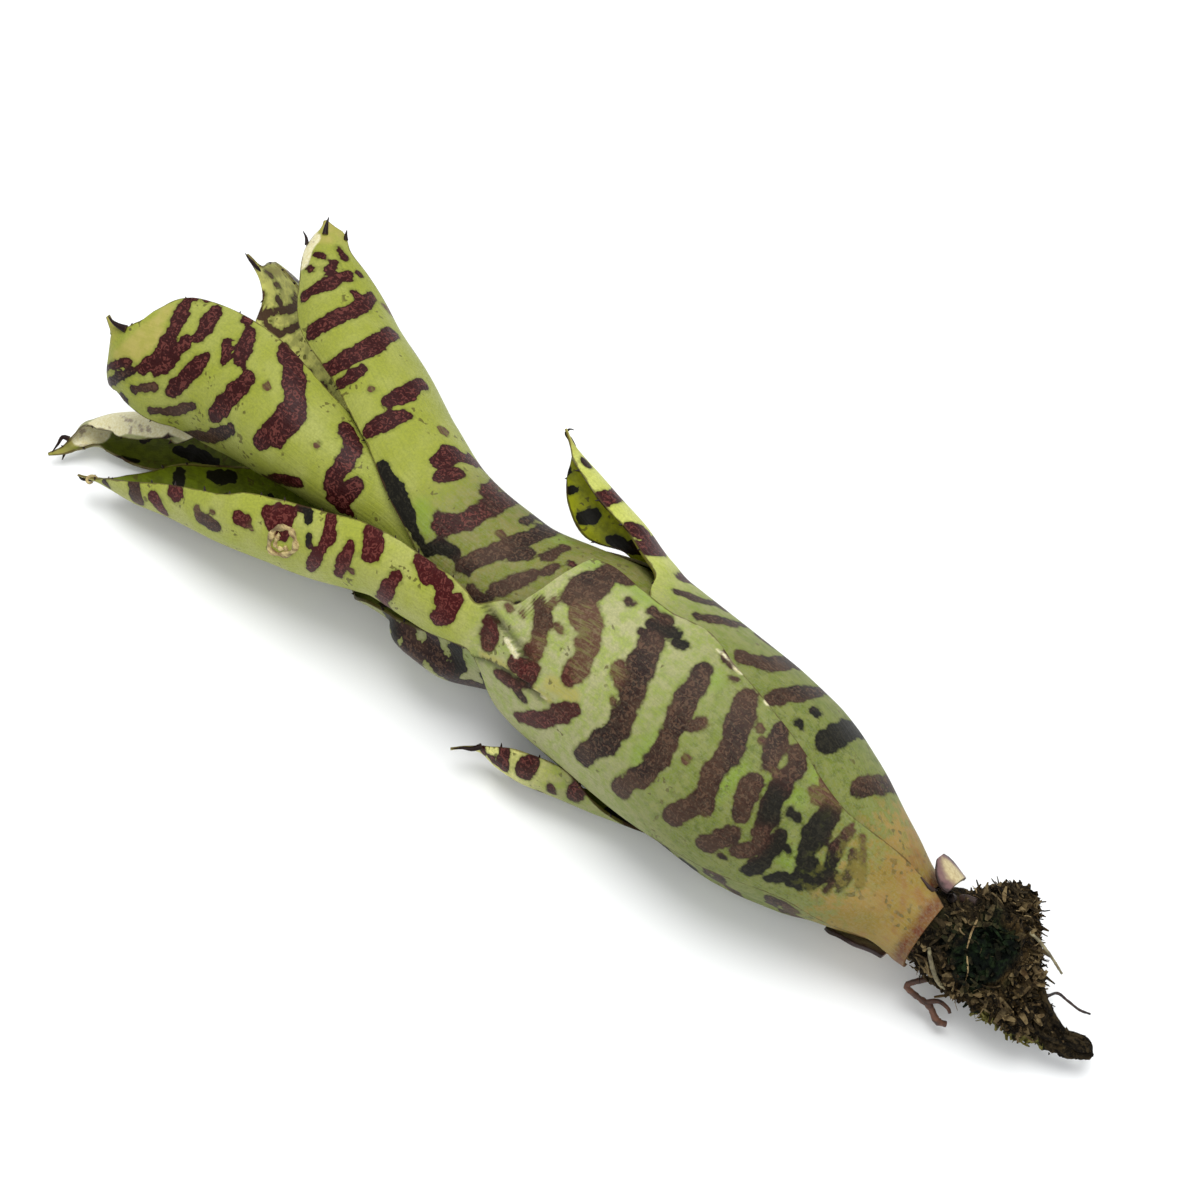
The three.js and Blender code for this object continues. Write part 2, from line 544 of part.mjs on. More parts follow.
function strandGeometry(strand, extra) {
  const points = strand.path.map((p) => new THREE.Vector3(...p));
  const curve = new THREE.CatmullRomCurve3(points, false, 'centripetal');
  const steps = (points.length - 1) * 2;
  const frames = curve.computeFrenetFrames(steps, false);
  const radiusAt = smooth(points.map((_, i) => i / (points.length - 1)), strand.radius);
  const rings = [];
  for (let i = 0; i <= steps; i += 1) {
    const centre = curve.getPointAt(i / steps);
    if (extra > 0 && i === 0) centre.addScaledVector(frames.tangents[0], -extra);
    if (extra > 0 && i === steps) centre.addScaledVector(frames.tangents[steps], extra);
    const r = radiusAt(i / steps) + extra;
    rings.push(Array.from({ length: strand.sides }, (_, k) => {
      const a = (2 * Math.PI * k) / strand.sides;
      return centre.clone().addScaledVector(frames.normals[i], r * Math.cos(a)).addScaledVector(frames.binormals[i], r * Math.sin(a));
    }));
  }
  return ringBody(rings);
}

// Joins and cuts
function solidOf(geometry) {
  const plain = geometry.clone();
  plain.deleteAttribute('normal');
  plain.deleteAttribute('uv');
  const merged = mergeVertices(plain, 0.0005);
  const vertProperties = new Float32Array(merged.attributes.position.array);
  const triVerts = new Uint32Array(merged.index.array);
  return new wasm.Manifold(new wasm.Mesh({ numProp: 3, vertProperties, triVerts }));
}

function geometryOf(solid) {
  const mesh = solid.getMesh();
  const geometry = new THREE.BufferGeometry();
  geometry.setAttribute('position', new THREE.Float32BufferAttribute(new Float32Array(mesh.vertProperties), 3));
  geometry.setIndex(Array.from(mesh.triVerts));
  return geometry;
}

function clumpBody(random) {
  const rings = CLUMP.map(([x, y, z, wide, high], i) => Array.from({ length: CLUMP_SIDES }, (_, k) => {
    const a = (2 * Math.PI * k) / CLUMP_SIDES;
    const rough = i === 0 ? 1 : 1 + CLUMP_RELIEF * (2 * random() - 1);
    return new THREE.Vector3(x, y + wide * rough * Math.sin(a), z - high * rough * Math.cos(a));
  }));
  return solidOf(ringBody(rings));
}

function clumpLump(random) {
  const ring = CLUMP[2 + Math.floor(random() * 7)];
  const [x, y, z, wide, high] = ring;
  const a = 2 * Math.PI * random();
  const size = THREE.MathUtils.lerp(LUMP_SIZE[0], LUMP_SIZE[1], random());
  const lump = new THREE.IcosahedronGeometry(size, 0);
  lump.scale(1.0 + 0.5 * random(), 0.7 + 0.3 * random(), 0.8);
  lump.rotateX(3 * random()).rotateY(3 * random()).rotateZ(3 * random());
  lump.translate(x, y + 0.93 * wide * Math.sin(a), Math.max(z - 0.93 * high * Math.cos(a), 3.2));
  return solidOf(lump);
}

function clumpGeometry() {
  const random = randomFrom(CLUMP_SEED);
  let clump = clumpBody(random);
  for (let k = 0; k < CLUMP_LUMPS; k += 1) clump = clump.add(clumpLump(random));
  clump = clump.subtract(solidOf(stemGeometry(SOCKET_GAP, -51, -40)));
  for (const strand of Object.values(STRANDS)) clump = clump.subtract(solidOf(strandGeometry(strand, strand.gap)));
  return geometryOf(clump);
}

function named(name, geometry, colour, roughness) {
  const flat = geometry.index ? geometry : mergeVertices(geometry);
  flat.computeVertexNormals();
  const mesh = new THREE.Mesh(flat, new THREE.MeshStandardMaterial({ color: colour, roughness, metalness: 0 }));
  mesh.name = name;
  return mesh;
}

const plant = new THREE.Group();
plant.add(named('stem', stemGeometry(0, -60, 0), STEM_TAN, 0.7));
for (const [name, leaf] of Object.entries({ ...LEAVES, ...OLD_BASES })) {
  plant.add(named(name, leafGeometry(leaf), leaf.colour, 0.5));
}
plant.add(named('root_clump', clumpGeometry(), CLUMP_BROWN, 0.95));
for (const [name, strand] of Object.entries(STRANDS)) {
  plant.add(named(name, strandGeometry(strand, 0), strand.colour, 0.8));
}

export default plant;
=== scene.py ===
import math
import random

import bpy
import numpy as np
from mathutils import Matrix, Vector, noise
from mathutils.bvhtree import BVHTree


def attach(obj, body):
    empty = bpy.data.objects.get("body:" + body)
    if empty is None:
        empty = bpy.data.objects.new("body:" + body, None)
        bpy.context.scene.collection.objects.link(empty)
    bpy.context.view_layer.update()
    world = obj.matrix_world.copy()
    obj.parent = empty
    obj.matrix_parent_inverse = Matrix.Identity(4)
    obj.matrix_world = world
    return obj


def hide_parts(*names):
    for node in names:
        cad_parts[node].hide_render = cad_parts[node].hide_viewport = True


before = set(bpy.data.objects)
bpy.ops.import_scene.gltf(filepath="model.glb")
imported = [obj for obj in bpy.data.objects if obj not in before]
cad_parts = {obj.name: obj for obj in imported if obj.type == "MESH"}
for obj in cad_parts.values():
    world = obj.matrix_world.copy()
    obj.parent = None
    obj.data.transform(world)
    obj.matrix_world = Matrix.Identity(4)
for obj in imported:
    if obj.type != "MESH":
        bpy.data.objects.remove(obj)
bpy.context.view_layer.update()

MM = 0.001

# Camera
CAMERA_AZIMUTH = math.radians(222)
CAMERA_ELEVATION = math.radians(60)
CAMERA_DISTANCE = 333.33
CAMERA_TARGET = np.array([29.945, -4.062, 23.585])
FOCAL_MM = 62.0
SENSOR_MM = 36.0
PICTURE = 1200
BACK = np.array([
    math.sin(CAMERA_AZIMUTH) * math.cos(CAMERA_ELEVATION),
    -math.cos(CAMERA_AZIMUTH) * math.cos(CAMERA_ELEVATION),
    math.sin(CAMERA_ELEVATION),
])
RIGHT = np.array([math.cos(CAMERA_AZIMUTH), math.sin(CAMERA_AZIMUTH), 0.0])
UP = np.cross(BACK, RIGHT)
EYE = CAMERA_TARGET + BACK * CAMERA_DISTANCE
PIXELS_PER_SLOPE = PICTURE * FOCAL_MM / SENSOR_MM

# The tube of overlapping sheaths
TUBE_X = [-46, -42, -38, -33, -27, -20, -15, -10, 0, 25, 45, 60, 75, 100]
TUBE_RADIUS = [7.3, 7.8, 8.7, 10.9, 13.3, 15.8, 17.4, 18.4, 19.0, 19.1, 17.8, 17.6, 17.0, 16.5]
AXIS_X = [-46, -38, -30, -20, -10, 0, 30, 40, 60, 100]
AXIS_Z = [14.3, 15.2, 16.2, 17.2, 17.8, 18.0, 18.0, 18.2, 18.8, 19.0]
AXIS_Y = [1.0, 0.6, 0.6, 0.5, 0.5, 0.3, 0.0, 0.0, 0.0, 0.0]
LEAN_X = [28, 36, 46, 56, 100]
LEAN_Y = [0.0, 1.6, 3.6, 4.0, 4.0]
LEAN_FROM_LAYER = 3
LAYER_STEP = 1.1
BLADE_THICKNESS = 0.7
MARGIN_THICKNESS = 0.5
TIGHTEST_CURL = 1.25
ROW_STEP = 0.75
COLUMN_STEP = 0.95
GREY_SHEATH = (14, 30)
SPOT_STEP = 2.5
MARK_SPREAD = 1.0
TONE_BLEND = 0.55

# Each leaf, as in the solids. A sheath row is [x, middle angle, arc minus, arc plus],
# a lift is [x0, x1, x2, x3, t0, t1, t2, t3, amount],
# a blade row is [x, centre y, centre z, radius, facing angle, arc minus, arc plus].
LEAVES = {
    "leaf_outer_left": {
        "layer": 0, "slot": "leaf_sheath", "seed": 3, "grey": (35, 42), "step": 0.62,
        "sheath": [
            [-43, 50, 54, 76], [-41.6, 49, 56, 64], [-40.2, 48, 57, 48], [-36, 46, 54, 38], [-31, 44, 46, 40],
            [-24, 42, 38, 36], [-13, 42, 45, 42], [-5, 42, 50, 48], [2, 42, 54, 56], [9, 42, 60, 63],
            [16, 43, 56, 64], [22, 44, 57, 62], [28, 47, 60, 57], [30.5, 49, 60, 50], [32, 50, 48, 45],
            [33.5, 50, 31, 38], [35.5, 50, 18, 27],
        ],
        "lift": [[20, 32, 60, 61, 32, 46, 62, 78, 0.8]],
        "blade": [
            [39.4, 6.8, 22.4, 12.2, 50, 19, 18], [44, 9.5, 24.3, 9.2, 52, 34, 33],
            [52.8, 10.9, 24.3, 8.3, 57, 46, 60],
            [62.0, 11.7, 23.9, 8.5, 69, 55, 70], [68, 13.0, 22.6, 8.9, 86, 66, 78],
            [74.5, 14.6, 20.8, 9.4, 108, 80, 96], [82, 16.4, 18.4, 9.2, 122, 90, 122],
            [90.6, 19.0, 15.7, 8.1, 125, 90, 138], [102.6, 22.4, 12.0, 6.0, 125, 86, 136],
            [110.4, 25.4, 9.7, 4.4, 122, 76, 126], [115.4, 27.3, 8.2, 2.8, 120, 66, 104],
            [118.6, 29.0, 7.2, 1.4, 118, 50, 70], [122.1, 31.2, 6.8, 0.5, 118, 36, 36],
        ],
    },
    "leaf_low_left": {
        "layer": 1, "slot": "leaf_blade", "seed": 5,
        "sheath": [
            [-42, 142, 120, 120], [-34, 145, 90, 90], [-24, 148, 80, 75], [-14, 150, 76, 65],
            [-5, 149, 64, 54],
            [1, 145, 46, 42],
        ],
        "lift": [[-30, -22, 60, 61, 112, 128, 300, 301, 1.1]],
        "blade": [
            [5, 7.3, 10.7, 10.0, 126, 18, 34], [10, 12.0, 9.4, 7.2, 116, 38, 50],
            [17.4, 15.4, 8.8, 6.1, 103, 70, 62],
            [24.2, 18.1, 8.1, 5.2, 100, 72, 65], [28.7, 19.7, 7.3, 3.8, 98, 64, 60],
            [32.1, 21.3, 6.6, 1.9, 98, 45, 45], [34.2, 23.4, 6.3, 0.8, 96, 36, 36],
            [35.9, 25.5, 6.2, 0.5, 96, 36, 36],
        ],
    },
    "leaf_right_spur": {
        "layer": 2, "slot": "leaf_blade", "seed": 7,
        "sheath": [
            [-40, -75, 130, 130], [-30, -75, 95, 110], [-5, -75, 75, 90], [10, -75, 70, 80],
            [19, -74, 62, 60],
        ],
        "lift": [[-30, -22, 60, 61, -400, -399, -75, -45, 0.4]],
        "blade": [
            [26, -3.8, 19.7, 14.0, -70, 40, 40], [32.7, -12.7, 24.5, 5.9, -80, 74, 70],
            [39.8, -14.3, 25.5, 5.3, -79, 120, 74], [44.7, -15.8, 26.5, 4.5, -76, 120, 70],
            [48.3, -17.6, 27.5, 3.1, -70, 108, 66], [50.9, -19.7, 28.6, 1.4, -64, 50, 50],
            [53.4, -21.5, 29.9, 0.5, -60, 36, 36],
        ],
    },
    "leaf_floor": {
        "layer": 3, "slot": "leaf_pale", "seed": 9,
        "sheath": [
            [-38, 200, 130, 130], [-28, 197, 120, 115], [15, 185, 105, 110], [28, 185, 110, 104],
            [38, 185, 114, 91],
            [44, 186, 112, 80], [50, 187, 103, 69],
        ],
        "lift": [[12, 18, 36, 46, 125, 150, 190, 203, 3.3], [34, 46, 80, 81, 82, 102, 124, 160, 3.0]],
        "blade": [
            [62, 6.0, 16.8, 12.6, 188, 92, 44], [72, 7.1, 15.2, 13.0, 185, 42, 43],
            [88, 9.2, 12.5, 11.0, 186, 24, 46],
            [101, 12.2, 9.9, 8.6, 196, 10, 60], [108, 14.0, 8.9, 7.9, 215, 28, 108],
            [114, 15.6, 7.9, 7.0, 235, 62, 152], [120.5, 19.2, 6.2, 5.6, 246, 92, 150],
            [126.5, 22.3, 4.7, 4.2, 250, 112, 146], [128.8, 24.9, 4.1, 3.1, 250, 112, 145],
            [129.8, 27.4, 3.7, 1.6, 245, 90, 105], [130.5, 29.2, 3.5, 0.9, 240, 60, 60],
            [132.2, 31.4, 3.0, 0.5, 240, 36, 36],
        ],
    },
    "leaf_upper_right": {
        "layer": 4, "slot": "leaf_blade", "seed": 11, "grey": (52, 66),
        "sheath": [[-36, -30, 130, 130], [-24, -30, 115, 120], [15, -30, 110, 118], [42, -28, 95, 104]],
        "lift": [],
        "blade": [
            [52, 2.6, 20.0, 11.9, -25, 84, 80], [61.5, 1.4, 21.2, 11.2, -23, 74, 62],
            [73.5, -2.6, 21.4, 11.0, -22, 72, 51], [85.7, -7.9, 21.7, 10.7, -22, 72, 55],
            [96.5, -12.0, 22.0, 10.2, -21, 56, 60], [104.2, -16.9, 23.4, 8.6, -18, 38, 56],
            [109, -20.5, 25.7, 6.3, -12, 34, 50], [111.4, -23.3, 27.6, 4.3, -6, 46, 50],
            [112.6, -24.5, 29.9, 2.2, -3, 34, 34], [113.8, -25.3, 31.6, 0.5, 0, 36, 36],
        ],
    },
    "leaf_back_right": {
        "layer": 5, "slot": "leaf_inner", "seed": 13,
        "sheath": [[-33, -105, 130, 130], [-15, -105, 112, 112], [20, -105, 102, 102], [52, -105, 92, 82]],
        "lift": [],
        "blade": [
            [64, 1.9, 18.6, 10.8, -104, 80, 66], [73.4, -1.1, 18.5, 10.3, -104, 78, 66],
            [90.7, -1.9, 18.4, 12.2, -106, 66, 60], [107.8, -4.3, 18.5, 12.8, -108, 76, 58],
            [115.5, -6.2, 18.2, 12.2, -109, 74, 54], [119.5, -8.2, 17.6, 10.6, -110, 62, 52],
            [122.6, -12.2, 16.4, 6.9, -110, 50, 52], [126.5, -17.0, 14.6, 1.8, -110, 50, 50],
            [130.8, -18.7, 14.6, 0.5, -110, 36, 36],
        ],
    },
    "leaf_upper_left": {
        "layer": 6, "slot": "leaf_blade", "seed": 17,
        "sheath": [[-30.5, 35, 130, 130], [-12, 35, 115, 115], [25, 35, 108, 108], [50, 36, 100, 100]],
        "lift": [],
        "blade": [
            [57, 3.6, 19.9, 9.6, 36, 96, 90], [64.4, 3.7, 21.3, 8.0, 36, 94, 80],
            [78.8, 5.5, 22.8, 8.1, 36, 86, 88],
            [90.1, 5.0, 23.4, 10.5, 36, 67, 84], [101.4, 2.2, 20.9, 13.8, 36, 50, 65],
            [112.0, 3.0, 19.5, 15.2, 36, 42, 54], [116.5, 4.6, 18.7, 16.0, 36, 27, 47],
            [119.3, 6.8, 20.2, 14.0, 36, 17, 48], [121.2, 8.3, 21.7, 12.0, 36, 13, 51],
            [122.8, 8.0, 21.4, 12.0, 36, 7, 52], [123.5, 13.2, 28.6, 3.2, 36, 16, 48],
            [124.5, 13.4, 29.2, 2.4, 36, 16, 18],
            [126.8, 12.7, 29.7, 2.0, 36, 12, 12],
        ],
    },
    "leaf_heart_a": {
        "layer": 7, "slot": "leaf_inner", "seed": 19,
        "sheath": [[-28, 170, 130, 130], [-10, 170, 115, 115], [25, 170, 108, 108], [42, 170, 104, 104]],
        "lift": [],
        "blade": [
            [54, 4.0, 18.8, 7.8, 170, 96, 96], [66, 4.3, 20.2, 5.4, 172, 92, 92],
            [77, 4.8, 21.2, 4.6, 174, 84, 84],
            [84, 5.0, 21.6, 3.2, 174, 60, 60], [87, 5.0, 21.6, 1.3, 174, 45, 45],
            [91, 5.2, 21.8, 0.5, 174, 36, 36],
        ],
    },
    "leaf_heart_b": {
        "layer": 8, "slot": "leaf_inner", "seed": 23,
        "sheath": [[-25.5, -55, 130, 130], [-8, -55, 120, 120], [25, -55, 115, 115], [40, -55, 112, 112]],
        "lift": [],
        "blade": [
            [52, 4.0, 18.8, 6.2, -55, 104, 104], [62, 4.0, 19.8, 4.0, -55, 96, 96],
            [70, 4.0, 20.6, 2.9, -55, 84, 84],
            [74.5, 4.0, 21.2, 1.5, -55, 50, 50], [78.5, 4.0, 22.0, 0.5, -55, 36, 36],
        ],
    },
}

OLD_BASES = {
    "old_base_upper": {
        "layer": -1, "slot": "old_leaf", "seed": 29,
        "sheath": [
            [-42.2, -41, 28, 26], [-41.2, -41, 29, 28], [-40.2, -42, 26, 27], [-38.9, -41, 18, 20],
            [-37.8, -40, 8, 8],
        ],
        "lift": [],
        "blade": [],
    },
    "old_base_lower": {
        "layer": 0, "slot": "old_leaf", "seed": 31,
        "sheath": [
            [-39.6, 134, 28, 34], [-38, 134, 31, 34], [-35, 135, 32, 30], [-32, 136, 24, 22],
            [-29.6, 138, 8, 8],
        ],
        "lift": [[-60, -59, -36, -32, 60, 61, 104, 130, 0.9]],
        "blade": [],
    },
}

# Dark markings that show from the camera. Each is (tone, width, points) in the pixels of the
# 1200-pixel picture. Tones: 0 maroon, 1 hazy grey, 2 near black, 3 faint brown.
MAROON, HAZY, BLACK, FAINT = 0, 1, 2, 3
MARKS = {
    "leaf_upper_left": [
        (MAROON, 12, [(190, 297), (174, 330), (155, 359), (141, 370)]),
        (MAROON, 13, [(157, 373), (185, 342)]),
        (MAROON, 14, [(216, 309), (199, 338)]),
        (MAROON, 9, [(227, 342), (224, 361)]),
        (MAROON, 13, [(250, 332), (239, 363)]),
        (MAROON, 15, [(205, 356), (172, 392)]),
        (MAROON, 19, [(248, 378), (214, 415)]),
        (MAROON, 22, [(289, 350), (294, 375), (295, 405), (276, 429), (260, 442)]),
        (MAROON, 16, [(296, 383), (298, 412), (276, 440)]),
        (HAZY, 9, [(151, 411), (175, 411), (194, 405)]),
        (HAZY, 13, [(186, 436), (210, 437), (231, 430)]),
        (MAROON, 10, [(247, 316), (247, 320)]),
        (MAROON, 7, [(206, 299), (207, 300)]),
        (MAROON, 5, [(97, 371), (115, 365), (130, 362)]),
        (HAZY, 8, [(107, 383), (132, 371)]),
        (HAZY, 8, [(134, 389), (155, 386)]),
        (HAZY, 9, [(124, 398), (126, 402)]),
        (MAROON, 14, [(273, 479), (298, 482)]),
        (MAROON, 17, [(346, 428), (354, 446), (343, 464), (332, 484), (337, 502)]),
        (MAROON, 16, [(356, 484), (342, 502)]),
        (MAROON, 12, [(330, 500), (350, 512)]),
        (FAINT, 8, [(266, 386), (267, 387)]),
        (FAINT, 6, [(317, 444), (318, 445)]),
    ],
    "leaf_upper_right": [
        (MAROON, 8, [(309, 268), (311, 269)]), (MAROON, 8, [(328, 269), (334, 265)]),
        (MAROON, 7, [(340, 250), (344, 257)]),
        (MAROON, 6, [(316, 255), (322, 256)]),
        (MAROON, 13, [(305, 296), (318, 287), (348, 275)]),
        (MAROON, 6, [(359, 274), (360, 275)]),
        (MAROON, 17, [(312, 332), (332, 320), (360, 306), (371, 298)]),
        (MAROON, 10, [(355, 293), (362, 302)]),
        (MAROON, 19, [(327, 370), (343, 361), (370, 347), (392, 333)]),
        (MAROON, 13, [(340, 384), (362, 369)]),
        (FAINT, 6, [(383, 305), (384, 306)]), (FAINT, 6, [(370, 389), (371, 390)]),
        (FAINT, 7, [(443, 430), (444, 432)]),
        (MAROON, 17, [(389, 401), (408, 393), (422, 384)]),
        (MAROON, 18, [(368, 431), (387, 421), (406, 415)]),
        (MAROON, 18, [(437, 463), (452, 453), (468, 459)]),
        (MAROON, 15, [(441, 477), (458, 472)]),
        (MAROON, 13, [(484, 492), (497, 484)]),
        (MAROON, 20, [(440, 525), (461, 523), (482, 512), (508, 498), (518, 489)]),
        (MAROON, 8, [(436, 514), (440, 534)]),
        (HAZY, 19, [(462, 565), (482, 557), (510, 547), (538, 534), (563, 523)]),
        (HAZY, 14, [(515, 556), (528, 552)]),
        (HAZY, 12, [(546, 558), (564, 547)]),
        (HAZY, 15, [(493, 592), (510, 583), (532, 575)]),
        (MAROON, 9, [(571, 563), (572, 564)]), (BLACK, 9, [(554, 587), (555, 588)]),
        # Near-black strokes along the gap between this leaf and the upper-left leaf. On this line they are a
        # dark blotch deep in the gap, partly painted shade. On the next two lines they are painted shadow of
        # the gap along this leaf's left margin.
        (BLACK, 12, [(427, 550), (440, 545), (455, 553)]), (BLACK, 8, [(458, 560), (468, 574)]),
        (BLACK, 12, [(382, 466), (390, 480)]), (BLACK, 19, [(392, 484), (401, 504), (408, 520)]),
        (BLACK, 9, [(411, 524), (424, 548)]),
        (HAZY, 9, [(523, 523), (535, 515)]), (HAZY, 8, [(545, 572), (556, 566)]),
        (FAINT, 7, [(500, 533), (502, 535)]),
        (HAZY, 10, [(470, 588), (482, 600)]),
    ],
    "leaf_outer_left": [
        (HAZY, 8, [(104, 482), (108, 486)]), (HAZY, 17, [(133, 485), (137, 500)]),
        (MAROON, 17, [(155, 500), (162, 511)]),
        (MAROON, 17, [(174, 490), (178, 494)]), (HAZY, 16, [(200, 518), (215, 526)]),
        (MAROON, 15, [(240, 518), (245, 521)]),
        (MAROON, 18, [(268, 513), (289, 514), (278, 533)]), (MAROON, 18, [(270, 520), (282, 532)]),
        (FAINT, 5, [(196, 509), (198, 510)]), (FAINT, 5, [(212, 512), (213, 513)]),
        (FAINT, 5, [(251, 528), (252, 530)]),
        (BLACK, 8, [(308, 512), (308, 521)]), (BLACK, 7, [(309, 537), (309, 544)]),
        (MAROON, 12, [(332, 514), (329, 536), (319, 554), (310, 569)]),
        (MAROON, 13, [(350, 545), (344, 560), (339, 573)]), (FAINT, 6, [(351, 571), (352, 572)]),
        (MAROON, 20, [(370, 532), (373, 541), (371, 553)]), (MAROON, 8, [(348, 590), (356, 592)]),
        (MAROON, 14, [(396, 576), (388, 589), (381, 600)]),
        (MAROON, 17, [(421, 560), (428, 572), (429, 577)]),
        (MAROON, 17, [(438, 578), (444, 590), (440, 600)]),
        (MAROON, 20, [(454, 601), (446, 612), (437, 619)]),
        (MAROON, 19, [(492, 624), (490, 634), (488, 642)]),
        (HAZY, 30, [(574, 594), (586, 588), (602, 582)]), (HAZY, 20, [(602, 574), (618, 573), (626, 579)]),
        (HAZY, 11, [(538, 602), (540, 608)]), (HAZY, 17, [(542, 614), (541, 634)]),
        (FAINT, 15, [(541, 634), (536, 652)]),
        (FAINT, 7, [(551, 602), (553, 604)]), (FAINT, 6, [(559, 628), (560, 630)]),
        (FAINT, 5, [(507, 606), (509, 608)]),
        (FAINT, 6, [(522, 612), (524, 616)]), (HAZY, 9, [(516, 690), (524, 700)]),
        (HAZY, 8, [(628, 600), (632, 604)]),
        (FAINT, 14, [(618, 668), (622, 682)]), (FAINT, 6, [(612, 700), (613, 702)]),
        (FAINT, 30, [(584, 612), (590, 628)]), (FAINT, 22, [(590, 628), (586, 649), (577, 672)]),
        (MAROON, 12, [(570, 664), (568, 682)]),
        (MAROON, 14, [(499, 676), (517, 685)]), (MAROON, 20, [(518, 664), (530, 670), (527, 680)]),
        (MAROON, 12, [(526, 648), (534, 656)]),
        (MAROON, 17, [(519, 718), (543, 720), (559, 713), (575, 709)]),
        (HAZY, 23, [(582, 757), (602, 744), (619, 728), (630, 702)]),
        (HAZY, 25, [(630, 702), (638, 675), (646, 652), (652, 638)]),
        (BLACK, 15, [(652, 624), (664, 630), (676, 635)]),
        (BLACK, 8, [(642, 632), (650, 640)]), (BLACK, 9, [(676, 640), (686, 646)]),
        (HAZY, 22, [(619, 790), (648, 773), (665, 747), (675, 726)]),
        (HAZY, 23, [(675, 726), (688, 697), (702, 672)]), (HAZY, 12, [(690, 726), (702, 722)]),
        (HAZY, 22, [(670, 817), (702, 803), (711, 776), (731, 751)]),
        (HAZY, 25, [(731, 751), (742, 717), (747, 698)]),
        (HAZY, 20, [(741, 813), (748, 797), (753, 783)]), (HAZY, 19, [(769, 764), (776, 745), (781, 728)]),
        (HAZY, 18, [(702, 845), (733, 834)]),
        (HAZY, 16, [(736, 852), (756, 847), (765, 826)]), (BLACK, 21, [(765, 826), (771, 803), (782, 785)]),
        (HAZY, 18, [(782, 785), (797, 765), (799, 750)]),
        (BLACK, 17, [(748, 870), (764, 863), (780, 836)]), (BLACK, 11, [(768, 879), (785, 875)]),
        (BLACK, 19, [(794, 882), (810, 868), (805, 850)]), (BLACK, 24, [(807, 848), (822, 824), (832, 808)]),
        (FAINT, 12, [(832, 808), (839, 793), (833, 776)]),
        (BLACK, 15, [(811, 886), (828, 873), (835, 850)]), (HAZY, 12, [(835, 850), (850, 831)]),
        (HAZY, 9, [(838, 890), (850, 872), (854, 852)]), (FAINT, 7, [(860, 884), (864, 862), (862, 838)]),
        (HAZY, 8, [(826, 892), (834, 884)]), (FAINT, 7, [(846, 838), (852, 826)]),
        (BLACK, 11, [(791, 812), (796, 817)]), (FAINT, 14, [(814, 792), (819, 800)]),
        (BLACK, 8, [(786, 848), (789, 852)]),
        (FAINT, 6, [(775, 770), (776, 776)]), (FAINT, 6, [(701, 812), (703, 814)]),
        (BLACK, 6, [(722, 857), (725, 858)]),
        (FAINT, 7, [(759, 727), (760, 728)]), (FAINT, 7, [(761, 741), (762, 742)]),
        (FAINT, 8, [(686, 758), (687, 759)]),
        (FAINT, 6, [(704, 722), (705, 723)]), (FAINT, 8, [(640, 646), (641, 647)]),
        (HAZY, 8, [(733, 678), (736, 680)]),
        (HAZY, 11, [(652, 612), (668, 622)]), (HAZY, 12, [(725, 654), (738, 664)]),
        (BLACK, 11, [(178, 483), (181, 472)]), (BLACK, 15, [(215, 477), (230, 476)]),
        (BLACK, 5, [(270, 496), (271, 497)]),
        (BLACK, 7, [(300, 506), (310, 512)]),
    ],
    "leaf_right_spur": [
        (MAROON, 16, [(601, 500), (611, 496), (622, 492)]), (MAROON, 20, [(634, 530), (646, 534)]),
        (MAROON, 20, [(634, 548), (658, 548)]), (MAROON, 12, [(679, 578), (689, 575)]),
        (HAZY, 8, [(585, 461), (588, 465)]),
        (BLACK, 7, [(562, 470), (564, 472)]), (BLACK, 7, [(563, 491), (578, 490)]),
        (BLACK, 12, [(581, 519), (594, 516)]),
        (BLACK, 12, [(612, 540), (628, 548)]),
        (HAZY, 12, [(678, 592), (700, 600), (724, 606)]), (HAZY, 13, [(700, 617), (743, 625)]),
        (HAZY, 10, [(762, 635), (771, 641)]),
        (HAZY, 21, [(742, 657), (764, 663), (788, 663)]), (HAZY, 17, [(772, 699), (816, 690)]),
        (BLACK, 13, [(799, 723), (800, 724)]), (BLACK, 13, [(816, 713), (818, 711)]),
        (BLACK, 24, [(824, 744), (838, 735), (850, 728)]), (HAZY, 20, [(858, 789), (872, 785), (884, 784)]),
    ],
    "leaf_low_left": [
        (MAROON, 9, [(481, 745), (483, 752)]), (MAROON, 14, [(505, 746), (502, 766)]),
        (MAROON, 18, [(534, 759), (523, 773)]),
        (MAROON, 7, [(492, 759), (493, 761)]), (MAROON, 8, [(552, 788), (553, 792)]),
        (MAROON, 17, [(580, 785), (573, 796)]),
        (BLACK, 20, [(614, 812), (638, 830)]), (HAZY, 14, [(706, 868), (716, 874)]),
        (HAZY, 15, [(770, 898), (790, 908)]),
    ],
    "leaf_floor": [
        (BLACK, 13, [(388, 618), (398, 632)]), (HAZY, 12, [(404, 628), (412, 634)]),
        (HAZY, 16, [(410, 644), (420, 652)]),
        (HAZY, 19, [(432, 636), (434, 652), (440, 668)]), (BLACK, 15, [(455, 648), (459, 664)]),
        (HAZY, 24, [(466, 684), (480, 696)]), (BLACK, 12, [(484, 676), (494, 700)]),
        (HAZY, 7, [(450, 676), (452, 682)]),
        (HAZY, 11, [(163, 436), (168, 434)]), (HAZY, 10, [(141, 420), (146, 421)]),
        (FAINT, 5, [(100, 437), (101, 438)]),
        (FAINT, 7, [(116, 415), (118, 414)]), (BLACK, 7, [(192, 449), (206, 456)]),
        (BLACK, 7, [(118, 458), (137, 461)]), (BLACK, 9, [(176, 450), (216, 463)]),
    ],
    "leaf_back_right": [
        (MAROON, 6, [(250, 293), (261, 298)]), (BLACK, 6, [(241, 304), (248, 307)]),
        (HAZY, 7, [(278, 300), (279, 302)]),
        (HAZY, 6, [(261, 317), (272, 313), (286, 310)]), (HAZY, 7, [(286, 310), (299, 305)]),
